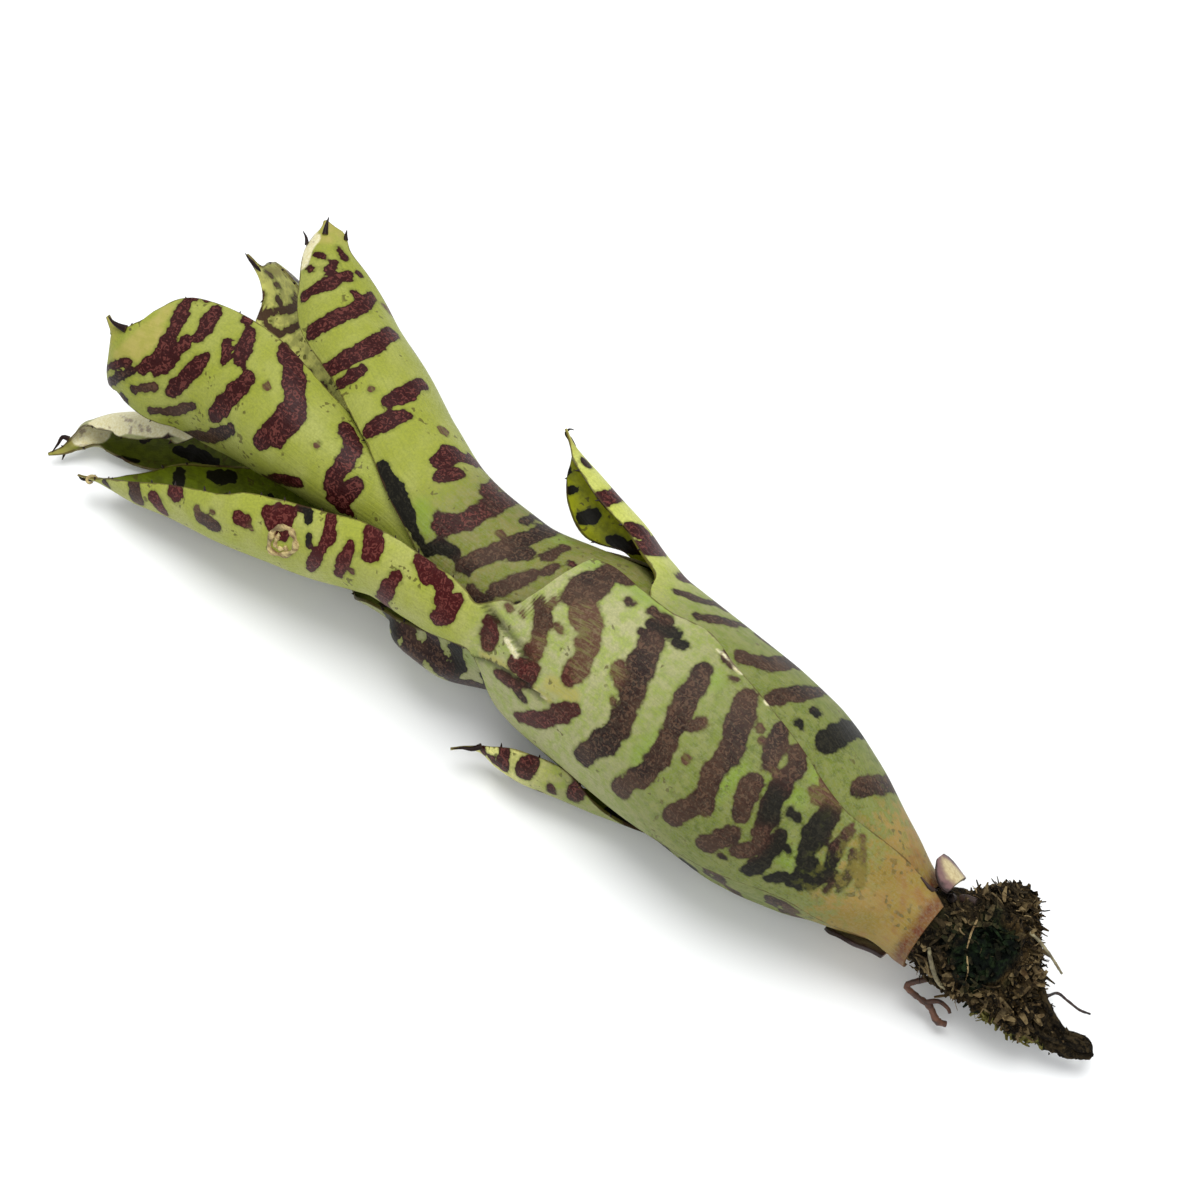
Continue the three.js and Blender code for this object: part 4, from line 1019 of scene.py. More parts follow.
def make_leaf(name, leaf, material, tree):
    skin = Skin(leaf_surface(leaf))
    surface = skin.surface
    rng = random.Random(leaf["seed"])
    marks = []
    if leaf["blade"]:
        marks = seen_marks(name, skin, rng)
        marks += hidden_marks(skin, seen_cells(skin, tree), marks, rng)
    distance, tones = on_both_faces(skin, marks)
    cells = skin.n * skin.m
    s = np.tile(np.repeat(surface["s"], skin.m), 2)
    face = np.repeat([0.0, 1.0], cells)
    coordinates = np.stack([s, np.tile(surface["across"].ravel(), 2), face], -1)
    edge = np.tile(surface["edge"].ravel(), 2)
    tan = 1 - ramp(-40, -17, skin.points[:, 0])
    tip = 1 - ramp(0.5, 7.0, surface["length"] - s)
    grey_from, grey_to = leaf.get("grey", GREY_SHEATH)
    scurf = 1 - ramp(grey_from, grey_to, skin.points[:, 0])
    push, shade = creases(name, skin)
    push[cells:] = push[:cells]
    points = skin.points + np.tile(surface["out"].reshape(-1, 3), (2, 1)) * push[:, None]
    shape = Shape()
    shape.add(points, grid_faces(skin.n, skin.m), coordinates, np.stack([distance, edge, scurf], -1),
              np.stack([tan, shade, -tip], -1), tones, stains(name, skin))
    margin_spines(shape, surface, leaf, leaf["seed"] + 100)
    tip_spines(shape, surface, name)
    piece = shape.build(name + "_fine", material)
    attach(piece, "root")
    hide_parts(name)
    return skin


# Materials
def linear(red, green, blue):
    def one(c):
        c = c / 255
        return c / 12.92 if c <= 0.04045 else ((c + 0.055) / 1.055) ** 2.4
    return (one(red), one(green), one(blue), 1.0)


class Nodes:
    """Short calls for building a material."""

    def __init__(self, name):
        self.material = bpy.data.materials.new(name)
        self.material.use_nodes = True
        self.tree = self.material.node_tree
        self.shader = self.tree.nodes["Principled BSDF"]

    def node(self, kind, **values):
        node = self.tree.nodes.new(kind)
        for key, value in values.items():
            setattr(node, key, value)
        return node

    def link(self, source, target):
        self.tree.links.new(source, target)

    def put(self, socket, value):
        if isinstance(value, bpy.types.NodeSocket):
            self.link(value, socket)
        else:
            socket.default_value = value

    def math(self, operation, a, b=0.0, c=0.0):
        node = self.node("ShaderNodeMath", operation=operation)
        for socket, value in zip(node.inputs, (a, b, c)):
            self.put(socket, value)
        return node.outputs[0]

    def times(self, a, b):
        return self.math("MULTIPLY", a, b)

    def plus(self, a, b):
        return self.math("ADD", a, b)

    def minus(self, a, b):
        return self.math("SUBTRACT", a, b)

    def ramp(self, value, low, high, start=0.0, end=1.0):
        node = self.node("ShaderNodeMapRange", interpolation_type="SMOOTHSTEP")
        for socket, item in zip(node.inputs, (value, low, high, start, end)):
            self.put(socket, item)
        return node.outputs[0]

    def mix(self, factor, a, b, mode="MIX"):
        node = self.node("ShaderNodeMix", data_type="RGBA", blend_type=mode)
        self.put(node.inputs[0], factor)
        self.put(node.inputs[6], a)
        self.put(node.inputs[7], b)
        return node.outputs[2]

    def noise(self, vector, scale, detail=2.0, roughness=0.5, distortion=0.0):
        node = self.node("ShaderNodeTexNoise")
        self.link(vector, node.inputs["Vector"])
        node.inputs["Scale"].default_value = scale
        node.inputs["Detail"].default_value = detail
        node.inputs["Roughness"].default_value = roughness
        node.inputs["Distortion"].default_value = distortion
        return node.outputs["Fac"]

    def parts(self, name):
        attribute = self.node("ShaderNodeAttribute", attribute_name=name)
        split = self.node("ShaderNodeSeparateXYZ")
        self.link(attribute.outputs["Vector"], split.inputs[0])
        return attribute.outputs["Vector"], split.outputs

    def stretched(self, vector, x, y, z):
        node = self.node("ShaderNodeMapping")
        self.link(vector, node.inputs["Vector"])
        node.inputs["Scale"].default_value = (x, y, z)
        return node.outputs[0]

    def place(self):
        """The object's own coordinates in millimetres."""
        node = self.node("ShaderNodeTexCoord")
        return self.stretched(node.outputs["Object"], 1000, 1000, 1000)

    def bump(self, height, strength, distance=0.0002, under=None):
        node = self.node("ShaderNodeBump")
        node.inputs["Strength"].default_value = strength
        node.inputs["Distance"].default_value = distance
        self.link(height, node.inputs["Height"])
        if under is not None:
            self.link(under, node.inputs["Normal"])
        return node.outputs[0]

    def finished(self, colour, rough, normal, specular=None):
        """The material, with its colour, roughness and relief in place."""
        self.link(colour, self.shader.inputs["Base Color"])
        self.put(self.shader.inputs["Roughness"], rough)
        self.link(normal, self.shader.inputs["Normal"])
        if specular is not None:
            self.shader.inputs["Specular IOR Level"].default_value = specular
        return self.material


# Leaf materials: name, fresh and pale green, sheath, inner face, how red the bands are and, where
# it isn't near black, the colour of the bands inside
PLAIN_BLADE = ("leaf_blade", (144, 150, 54), (154, 158, 76), (124, 118, 64), (112, 118, 8))
LEAF_LOOKS = {
    "leaf_outer_left": ("leaf_outer", (156, 162, 62), (166, 168, 90), (168, 166, 118), (92, 106, 2), 1.3),
    # The back leaf's inner face is much paler than the other leaves' inner faces: painted light, making up
    # for the shade cast on it by the leaves in front
    "leaf_back_right": (
        "leaf_back", (138, 146, 56), (148, 154, 76), (130, 134, 76), (224, 222, 124), 1.0, (84, 62, 44),
    ),
    "leaf_floor": ("leaf_floor", (142, 146, 90), (154, 154, 112), (138, 140, 100), (88, 98, 10)),
    "leaf_right_spur": ("leaf_spur", (184, 190, 82), (192, 196, 104), (144, 146, 90), (150, 154, 6)),
    # The low left leaf has a cream-yellow ground of its own, set paler still as painted light against the
    # shade it lies in
    "leaf_low_left": ("leaf_low", (216, 212, 108), (226, 222, 142), (146, 146, 92), (112, 118, 8)),
}


class LeafNodes(Nodes):
    """The values painted on a leaf, and the textures that several of its parts share."""

    def __init__(self, name):
        super().__init__(name)
        self.leaf, (self.along, _, self.face) = self.parts("leaf")
        _, (self.distance, self.edge, self.scurf) = self.parts("paint")
        # The dress attribute holds the tan foot, the painted crease shade and the spine tip
        _, (self.tan, self.crease, self.spine_tip) = self.parts("dress")
        _, (self.haze, self.black, self.faint) = self.parts("tone")
        _, (self.cream, self.dry, self.bright) = self.parts("stain")
        self.at = self.place()
        self.patches = self.ramp(self.noise(self.at, 0.15, 3.0), 0.36, 0.66)
        self.grain = self.ramp(self.noise(self.at, 2.4, 3.0, 0.7), 0.3, 0.72)
        self.mottle = self.ramp(self.noise(self.at, 0.55, 3.0, 0.6), 0.38, 0.64)
        self.wobble = self.minus(self.noise(self.at, 0.42, 2.0, 0.55), 0.5)


def leaf_ground(n, fresh, pale, sheath, inside):
    """Yellow green, greyer on the sheath, darkened towards the sheath's foot with painted shade, and darker
    inside.
    """
    veins = n.noise(n.stretched(n.leaf, 0.06, 2.6, 0.0), 1.0, 3.0, 0.6)
    ground = n.mix(n.patches, linear(*fresh), linear(*pale))
    greener = n.mix(n.mottle, linear(*sheath), linear(sheath[0] - 18, sheath[1] - 5, sheath[2] - 36))
    # Painted shade: the sheath colour turns to a darker green towards its foot
    shaded_foot_green = n.mix(n.mottle, linear(116, 122, 56), linear(98, 110, 36))
    greener = n.mix(n.ramp(n.along, 66.0, 36.0, 0.0, 0.95), greener, shaded_foot_green)
    ground = n.mix(n.scurf, ground, greener)
    ground = n.mix(n.times(n.grain, 0.3), ground, linear(84, 92, 36))
    ground = n.mix(n.times(n.bright, 0.65), ground, linear(116, 142, 38))
    flecks = n.ramp(n.noise(n.at, 0.75, 4.0, 0.72), 0.51, 0.6)
    flecks = n.times(flecks, n.times(n.scurf, n.ramp(n.along, 56.0, 34.0, 0.12, 0.5)))
    ground = n.mix(flecks, ground, linear(70, 82, 28))
    ground = n.mix(n.ramp(veins, 0.5, 0.8, 0.0, 0.24), ground, linear(96, 112, 36))
    inner_green = n.mix(n.mottle, linear(*inside), linear(*[c * 0.8 for c in inside]))
    return n.mix(n.times(n.face, 0.92), ground, inner_green)


def dry_parts(n, ground, patchy_tan):
    """Straw colour and rust at the foot, khaki at the tip and in dry patches."""
    tip = n.ramp(n.times(n.spine_tip, -1.0), 0.0, 1.0)
    straw = n.mix(n.patches, linear(132, 110, 42), linear(148, 122, 62))
    rust = n.ramp(n.noise(n.at, 0.3, 4.0, 0.65), 0.44, 0.66)
    rust = n.times(rust, n.ramp(n.along, 14.0, 4.0, 0.15, 1.0))
    straw = n.mix(n.times(rust, 0.75), straw, linear(128, 82, 32))
    ground = n.mix(patchy_tan, ground, straw)
    khaki = n.mix(n.mottle, linear(154, 148, 70), linear(166, 154, 84))
    ground = n.mix(n.times(tip, 0.75), ground, khaki)
    return n.mix(n.times(n.ramp(n.dry, 0.1, 0.9), 0.85), ground, khaki)


def freckles(n, ground, patchy_tan):
    """Freckles, close together on the tan foot, and the foot's dark red edge."""
    speckle = n.ramp(n.noise(n.at, 1.2, 0.6, 0.5), 0.57, 0.63)
    threshold = n.minus(0.62, n.times(patchy_tan, 0.2))
    chosen = n.ramp(n.noise(n.at, 0.22, 1.0), threshold, 0.66)
    ground = n.mix(n.times(n.times(speckle, chosen), 0.8), ground, linear(80, 74, 28))
    foot_edge = n.times(n.ramp(n.along, 3.0, 1.0), n.ramp(n.mottle, 0.0, 1.0, 0.7, 1.0))
    return n.mix(foot_edge, ground, linear(92, 40, 16))


def band_colour(n, inner, band_red, inside_band):
    """Maroon, hazy grey, near black and faint brown bands, each with its net of scales."""
    depth = n.ramp(n.noise(n.at, 0.1, 3.0, 0.6), 0.4, 0.6)
    maroon = n.mix(n.times(inner, 0.5), linear(44 * band_red, 5, 6), linear(112 + 8 * band_red, 64, 56))
    hazy = n.mix(depth, linear(30, 10, 8), linear(58, 36, 25))
    hazy = n.mix(n.times(inner, 0.5), hazy, linear(98, 72, 54))
    night = n.mix(n.times(inner, 0.25), linear(16, 14, 7), linear(58, 54, 38))
    brown = n.mix(n.times(inner, 0.6), linear(82, 54, 38), linear(108, 84, 64))
    film = n.times(n.scurf, n.ramp(n.noise(n.at, 0.2, 2.0), 0.4, 0.6))
    maroon = n.mix(n.times(film, 0.45), maroon, hazy)
    dark = n.mix(n.haze, maroon, hazy)
    dark = n.mix(n.black, dark, night)
    dark = n.mix(n.faint, dark, brown)
    return n.mix(n.times(n.face, 0.8), dark, linear(*inside_band))


def bands(n, ground, patchy_tan, band_red, inside_band):
    """Dark bands with a lobed rim and a fine pale net of scales: colour, band and net."""
    fine = n.minus(n.noise(n.at, 1.9, 2.0, 0.5), 0.5)
    rim = n.plus(n.distance, n.plus(n.times(n.wobble, 1.9), n.times(fine, 0.35)))
    soft = n.plus(0.1, n.times(n.scurf, 0.14))
    band = n.ramp(n.math("DIVIDE", rim, soft), 1.0, -1.0)
    halo = n.ramp(rim, 0.6, 0.0, 0.0, 0.5)
    net = n.ramp(n.noise(n.at, 1.2, 1.4, 0.5, 1.6), 0.5, 0.62)
    inner = n.times(net, n.ramp(rim, -0.14, -0.5))
    dark = band_colour(n, inner, band_red, inside_band)
    ground = n.mix(halo, ground, linear(92, 98, 30))
    strength = n.minus(1.0, n.times(patchy_tan, 0.8))
    streaks = n.ramp(n.noise(n.stretched(n.leaf, 0.25, 1.5, 0.0), 1.0, 3.0, 0.65), 0.44, 0.62)
    gaps = n.times(n.times(n.faint, streaks), 0.4)
    strength = n.times(strength, n.minus(1.0, gaps))
    return n.mix(n.times(band, strength), ground, dark), band, inner


def scales_and_scars(n, colour, band):
    """Silvery scales, finely lined along the leaf, papery cream scars and painted crease shade."""
    lines = n.noise(n.stretched(n.leaf, 0.25, 3.4, 0.0), 1.0, 2.0, 0.6)
    scales = n.times(n.grain, n.ramp(lines, 0.3, 0.7, 0.4, 1.0))
    scales = n.times(scales, n.ramp(n.scurf, 0.0, 1.0, 0.04, 0.3))
    covered = n.times(band, n.ramp(n.black, 0.0, 1.0, 0.7, 0.9))
    scales = n.times(scales, n.minus(1.0, covered))
    colour = n.mix(n.times(scales, n.ramp(n.face, 0.0, 1.0, 1.0, 0.1)), colour, linear(156, 158, 132))
    papery = n.mix(n.grain, linear(204, 194, 144), linear(221, 217, 186))
    blots = n.ramp(n.noise(n.at, 0.33, 3.0, 0.6), 0.56, 0.66)
    papery = n.mix(n.times(blots, 0.7), papery, linear(128, 108, 104))
    colour = n.mix(n.ramp(n.cream, 0.15, 0.75), colour, papery)
    # Painted shade along the creases: the colour is pulled towards near black
    return n.mix(n.times(n.crease, 0.72), colour, linear(34, 34, 14))


def margin_and_spines(n, colour):
    """Thin dark margin and near-black spines."""
    spine = n.ramp(n.spine_tip, 0.02, 0.8)
    broken = n.plus(n.edge, n.times(n.wobble, 0.9))
    colour = n.mix(n.ramp(broken, 0.3, 0.05, 0.0, 0.7), colour, linear(66, 46, 24))
    horn = n.mix(n.ramp(spine, 0.1, 0.5), linear(120, 84, 50), linear(30, 15, 12))
    return n.mix(n.ramp(spine, 0.0, 0.12), colour, horn)


def leaf_material(name, fresh, pale, sheath, inside, band_red=1.0, inside_band=(20, 18, 8)):
    n = LeafNodes(name)
    wander = n.times(n.minus(n.mottle, 0.5), 0.4)
    patchy_tan = n.ramp(n.plus(n.tan, wander), 0.25, 0.85)
    ground = leaf_ground(n, fresh, pale, sheath, inside)
    ground = freckles(n, dry_parts(n, ground, patchy_tan), patchy_tan)
    colour, band, inner = bands(n, ground, patchy_tan, band_red, inside_band)
    colour = margin_and_spines(n, scales_and_scars(n, colour, band))
    rough = n.plus(n.ramp(n.grain, 0.0, 1.0, 0.4, 0.52), n.times(n.scurf, 0.1))
    ribs = n.noise(n.stretched(n.leaf, 0.05, 1.6, 0.0), 1.0, 2.0)
    relief = n.bump(inner, 0.12, 0.0001, n.bump(n.grain, 0.2, 0.0001))
    return n.finished(colour, rough, n.bump(ribs, 0.35, 0.0003, relief), 0.15)


def dry_material(name, light, dark, scale, rough=0.75):
    n = Nodes(name)
    place = n.place()
    streaks = n.noise(n.stretched(place, 0.35, 1.0, 1.0), scale, 4.0, 0.65)
    blots = n.ramp(n.noise(place, scale * 0.35, 3.0), 0.42, 0.62)
    colour = n.mix(n.ramp(streaks, 0.35, 0.7), linear(*light), linear(*dark))
    colour = n.mix(n.times(blots, 0.55), colour, linear(*[c * 0.45 for c in dark]))
    return n.finished(colour, rough, n.bump(streaks, 0.5, 0.0003))


def old_leaf_material():
    """Cream old leaf base that goes mauve and then dark at its margin."""
    n = Nodes("old_leaf")
    place = n.place()
    _, (_, edge, _) = n.parts("paint")
    fine = n.noise(place, 1.8, 3.0, 0.6)
    wander = n.times(n.minus(n.noise(place, 0.5, 3.0), 0.5), 3.0)
    blush = n.plus(edge, wander)
    colour = n.mix(n.ramp(fine, 0.35, 0.7), linear(200, 186, 140), linear(176, 156, 112))
    colour = n.mix(n.ramp(blush, 3.4, 0.9), colour, linear(112, 82, 80))
    colour = n.mix(n.ramp(blush, 0.9, 0.1), colour, linear(44, 28, 26))
    return n.finished(colour, 0.6, n.bump(fine, 0.4, 0.0002))


def clump_material():
    """Dark damp peat and roots; the dress attribute holds moss, pale fibre and leathery brown."""
    n = Nodes("clump_peat")
    place = n.place()
    _, (moss, fibre, leather) = n.parts("dress")
    crumbs = n.noise(place, 0.65, 5.0, 0.68)
    specks = n.ramp(n.noise(place, 2.4, 3.0, 0.7), 0.55, 0.72)
    colour = n.mix(n.ramp(crumbs, 0.4, 0.66), linear(10, 7, 4), linear(62, 48, 25))
    colour = n.mix(n.times(specks, 0.6), colour, linear(104, 87, 52))
    folds = n.noise(n.stretched(place, 0.5, 1.0, 1.0), 0.8, 3.0, 0.6, 1.2)
    skin = n.mix(n.ramp(folds, 0.44, 0.62), linear(13, 10, 6), linear(52, 43, 27))
    skin = n.mix(n.times(specks, 0.22), skin, linear(128, 110, 78))
    colour = n.mix(leather, colour, skin)
    green = n.mix(n.ramp(crumbs, 0.44, 0.72), linear(3, 7, 4), linear(30, 44, 22))
    olive = n.mix(n.ramp(crumbs, 0.36, 0.6), linear(44, 42, 18), linear(122, 116, 62))
    green = n.mix(n.ramp(moss, 1.1, 1.9), green, olive)
    colour = n.mix(n.ramp(moss, 0.1, 0.9), colour, green)
    pale = n.mix(n.ramp(crumbs, 0.35, 0.65), linear(84, 64, 40), linear(158, 138, 98))
    colour = n.mix(fibre, colour, pale)
    return n.finished(colour, 0.9, n.bump(crumbs, 0.9, 0.0006), 0.1)


# Root clump
CLUMP_RINGS = 170
CLUMP_SIDES = 120
MOSS_CENTRE = np.array([-51.5, 1.0, 20.0])
LOW_EDGE_ANGLE = math.radians(118)
CLUMP_START = -1 / (len(CLUMP) - 2)
CHIPS = 520
FLAKES = 760
FIBRES = 420

# Single pieces on the clump: dress, height, radii, and points in the pixels of the picture
DARK, TAWNY, PALE, SKIN = (0.0, 0.0, 0.0), (0.0, 0.4, 0.5), (0.0, 1.0, 0.0), (0.0, 0.0, 1.0)
DEBRIS = [
    (SKIN, 0.3, 0.62, 0.4, [
        (1041, 984), (1045, 1000), (1053, 1018), (1063, 1031), (1075, 1035), (1085, 1038),
    ]),
    (SKIN, 0.3, 0.5, 0.25, [(1084, 1037), (1089, 1043), (1091, 1050), (1092, 1056)]),
    (SKIN, 0.1, 0.7, 0.6, [(1062, 1037), (1074, 1041), (1088, 1046)]),
    (SKIN, 0.1, 0.6, 0.4, [(1070, 1044), (1080, 1049), (1090, 1051)]),
    (SKIN, 0.1, 0.5, 0.3, [(1000, 1008), (1020, 1022), (1040, 1034), (1060, 1043), (1078, 1047)]),
    (SKIN, 0.1, 0.45, 0.2, [(1016, 1000), (1030, 1014), (1044, 1026)]),
    (TAWNY, 0.2, 0.4, 0.2, [(985, 990), (1000, 998), (1014, 1014)]),
    (PALE, 0.3, 0.2, 0.1, [(977, 920), (971, 933), (967, 948)]),
    (PALE, 0.2, 0.14, 0.08, [(967, 955), (968, 972), (965, 985)]),
    (PALE, 0.3, 0.26, 0.12, [(934, 997), (948, 995), (963, 992)]),
    (PALE, 0.2, 0.3, 0.15, [(977, 984), (981, 990), (980, 996)]),
    (DARK, 0.4, 0.24, 0.1, [(1040, 972), (1047, 978), (1055, 984)]),
    (DARK, 0.3, 0.16, 0.06, [(999, 894), (999, 884), (997, 876)]),
    (TAWNY, 0.3, 0.4, 0.12, [(983, 896), (986, 889), (988, 882)]),
    (TAWNY, 0.3, 0.42, 0.12, [(1010, 900), (1017, 893), (1022, 889)]),
    (TAWNY, 0.3, 0.42, 0.12, [(1024, 912), (1031, 903), (1038, 897)]),
    (DARK, 0.3, 0.5, 0.12, [(1030, 926), (1040, 927), (1049, 931)]),
    (TAWNY, 0.3, 0.42, 0.12, [(1036, 948), (1044, 952), (1052, 958)]),
    (DARK, 0.3, 0.34, 0.1, [(975, 898), (977, 890), (981, 884)]),
    (SKIN, 0.3, 0.5, 0.25, [(930, 915), (940, 922), (950, 935), (946, 950)]),
    (SKIN, 0.3, 0.45, 0.2, [(922, 955), (932, 962), (940, 975)]),
    (SKIN, 0.3, 0.4, 0.2, [(950, 905), (962, 912), (970, 924)]),
]


def clump_point(f, a):
    """A point on the smooth clump: f is 0 where it leaves the sheaths and 1 at the tail's end."""
    rings = np.array(CLUMP)
    s = np.linspace(CLUMP_START, 1, len(rings))
    x, y, z, wide, high = (float(np.interp(f, s, rings[:, k])) for k in range(5))
    out = np.array([0.0, wide * math.sin(a), high * math.cos(a)])
    return np.array([x, y, z]) + out, unit(np.array([0.0, math.sin(a) / wide, math.cos(a) / high]))


def clump_dress(p, f, a):
    """Moss 0 to 1 dark and up to 2 olive, fibre, leathery."""
    tail = float(ramp(0.55, 0.72, f))
    patch = noise.noise(Vector(p * 0.22)) * 0.5
    dark_moss = 1 - float(ramp(3.5, 9.0, np.linalg.norm((p - MOSS_CENTRE) * (1.0, 1.25, 0.8)) + 9 * patch))
    low = 1 - float(ramp(0.2, 0.75, abs(a - LOW_EDGE_ANGLE)))
    low = low * float(ramp(0.3, 0.45, f)) * (1 - float(ramp(0.7, 0.85, f)))
    low = float(ramp(0.2, 0.7, low + patch))
    moss = max(dark_moss * (1 - tail), 1.9 * low)
    woody = 1 - float(ramp(0.14, 0.3, f + 0.3 * patch))
    return np.array([moss, 0.0, max(0.9 * tail * (1 - 0.5 * low), 0.75 * woody)])


def make_clump(material):
    rng = random.Random(41)
    shape = Shape()
    points, dress = [], []
    for i in range(CLUMP_RINGS + 1):
        f = CLUMP_START + (1 - CLUMP_START) * i / CLUMP_RINGS
        tail = float(ramp(0.6, 0.8, f))
        fade = min(1.0, 5 * (f - CLUMP_START), 9 * (1 - f) + 0.08)
        for k in range(CLUMP_SIDES):
            a = 2 * math.pi * k / CLUMP_SIDES
            p, out = clump_point(f, a)
            v = Vector(p)
            lumps = noise.fractal(v * 0.3, 1.0, 2.1, 4) * (1.9 - 1.5 * tail)
            squeezed = Vector((v.x * 0.55, v.y * 0.8, v.z * 0.8))
            ridges = noise.ridged_multi_fractal(squeezed, 0.9, 2.1, 4, 0.9, 2.0)
            pits = noise.fractal(v * 1.3 + Vector((9, 3, 7)), 0.7, 2.2, 3) * (0.8 - 0.5 * tail)
            p = p + out * (lumps + (ridges - 1.1) * (0.5 - 0.25 * tail) + pits - 0.35) * fade
            points.append(p)
            dress.append(clump_dress(p, f, a))
    points = np.array(points + [CLUMP[0][:3], CLUMP[-1][:3]])
    points[:, 2] = np.maximum(points[:, 2], 0.3)
    dress = np.array(dress + [np.zeros(3), np.array([0, 0, 1.0])])
    faces = []
    for i in range(CLUMP_RINGS):
        for k in range(CLUMP_SIDES):
            n = (k + 1) % CLUMP_SIDES
            a, b = i * CLUMP_SIDES, (i + 1) * CLUMP_SIDES
            faces.append((a + k, b + k, b + n, a + n))
    last = CLUMP_RINGS * CLUMP_SIDES
    for k in range(CLUMP_SIDES):
        n = (k + 1) % CLUMP_SIDES
        faces.append((len(points) - 2, k, n))
        faces.append((len(points) - 1, last + n, last + k))
    shape.add(points, faces, points, UNMARKED, dress)
    for _ in range(CHIPS):
        add_chip(shape, rng)
    for _ in range(FLAKES):
        add_flake(shape, rng)
    for _ in range(FIBRES):
        add_fibre(shape, rng)
    tree = BVHTree.FromPolygons(points.tolist(), faces)
    for dressing, height, thick, thin, pixels in DEBRIS:
        path = pixel_path(tree, pixels, height)
        widths = np.interp(np.linspace(0, 1, len(path)), [0, 0.35, 1], [0.7 * thick, thick, thin])
        ring, sides = tube(path, widths * np.array([rng.uniform(0.85, 1.15) for _ in path]), 6)
        shape.add(ring, sides, ring, UNMARKED, dressing)
    piece = shape.build("root_clump_fine", material, 60)
    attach(piece, "root")
    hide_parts("root_clump")


def pixel_path(tree, pixels, height):
    """The places the camera sees at these pixels, raised towards it."""
    path, reach = [], CAMERA_DISTANCE
    for x, y in spaced(pixels, 4.0):
        way = pixel_ray(x, y)
        place, _, _, distance = tree.ray_cast(Vector(EYE), Vector(way))
        reach = distance if place is not None else reach
        path.append(EYE + way * (reach - height))
    path = np.array(path)
    path[:, 2] = np.maximum(path[:, 2], 0.5)
    return path


def any_way(rng):
    return np.array([rng.gauss(0, 1) for _ in range(3)])


def add_flake(shape, rng):
    """A curled strip of bark or dead root skin, lying on the clump."""
    f = rng.uniform(-0.05, 0.66)
    a = rng.uniform(0, 2 * math.pi)
    p, out = clump_point(f, a)
    way = any_way(rng)
    way = unit(way - out * np.dot(way, out) * rng.uniform(0.4, 1.0))
    side = unit(np.cross(way, out))
    rise = np.cross(side, way)
    length, width = rng.uniform(1.2, 3.6), rng.uniform(0.4, 1.2)
    length *= 0.6 if f < 0.04 else 1.0
    curl, cup = rng.uniform(-0.5, 1.1), rng.uniform(0.1, 0.5)
    grid = np.empty((6, 3, 3))
    for i, u in enumerate(np.linspace(-0.5, 0.5, 6)):
        half = width * (1 - 1.6 * abs(u) ** 1.5) * rng.uniform(0.8, 1.1)
        for j, v in enumerate((-0.5, 0.0, 0.5)):
            bend = curl * u * u * length + cup * half * v * v
            grid[i, j] = p + way * u * length + side * v * half + rise * bend
    grid += out * (rng.uniform(-0.35, 0.3) if f > 0.04 else -0.3)
    grid[..., 2] = np.maximum(grid[..., 2], 0.45)
    points = np.concatenate([grid.reshape(-1, 3), (grid - rise * 0.12).reshape(-1, 3)])
    own = clump_dress(p, f, a)
    own[1] = rng.choice([0.0, 0.0, 0.1, 0.3, 0.6]) * (1 - min(1.0, own[0]) * 0.9)
    own[2] = max(own[2], rng.choice([0.0, 0.6, 1.0]) * (1 - min(1.0, own[0])))
    shape.add(points, grid_faces(6, 3), points, UNMARKED, own)


def add_chip(shape, rng):
    """A crumb of bark or peat, half sunk in the clump."""
    f = rng.uniform(0.16, 0.6) if rng.random() < 0.95 else rng.uniform(0.6, 0.8)
    a = rng.uniform(0, 2 * math.pi)
    p, out = clump_point(f, a)
    size = rng.uniform(0.25, 0.8) * (1.0 if f < 0.4 else 0.6)
    long = rng.uniform(1.0, 2.2)
    way = unit(any_way(rng) + out * 0.8)
    side = unit(np.cross(way, any_way(rng)))
    flat = np.cross(way, side) * rng.uniform(0.3, 0.8)
    middle = p + out * rng.uniform(-0.5, 0.35)
    points = []
    for k in range(5):
        turn = 2 * math.pi * k / 5 + rng.uniform(-0.3, 0.3)
        points.append(middle + size * rng.uniform(0.7, 1.2) * (side * math.cos(turn) + flat * math.sin(turn)))
    points.append(middle + way * size * long)
    points.append(middle - way * size * long * 0.8)
    points = np.array(points)
    points[:, 2] = np.maximum(points[:, 2], 0.3)
    faces = [(k, (k + 1) % 5, 5) for k in range(5)] + [((k + 1) % 5, k, 6) for k in range(5)]
    own = clump_dress(p, f, a)
    own[1] = rng.choice([0.0, 0.0, 0.0, 0.2, 0.6]) * (1 - min(1.0, own[0]) * 0.8)
    shape.add(points, faces, points, UNMARKED, own)


def add_fibre(shape, rng):
    """One fine root, straw or moss shoot standing out of the clump."""
    f = rng.uniform(0.03, 0.62) if rng.random() < 0.94 else rng.uniform(0.6, 0.86)
    a = rng.uniform(0, 2 * math.pi)
    p, out = clump_point(f, a)
    lean_way = any_way(rng)
    way = unit(out * rng.uniform(-0.3, 0.45) + lean_way * 0.8)
    length = rng.uniform(0.4, 1.4) if rng.random() < 0.93 else rng.uniform(1.4, 2.8)
    length *= 1.0 if f < 0.58 else 0.3
    curl = unit(np.cross(way, lean_way)) * length * rng.uniform(0.15, 0.8)
    t = np.linspace(0, 1, 6)[:, None]
    path = p + out * rng.uniform(-0.3, 0.35) + way * length * t + curl * t * t
    path[:, 2] = np.maximum(path[:, 2], 0.4)
    radii = rng.uniform(0.07, 0.22) * (1 - 0.6 * t[:, 0])
    points, faces = tube(path, radii, 4)
    own = clump_dress(p, f, a)
    own[1] = rng.choice([0.0, 0.1, 0.3, 0.7, 1.0]) * (1 - min(1.0, own[0]) * 0.8)
    shape.add(points, faces, points, UNMARKED, own)


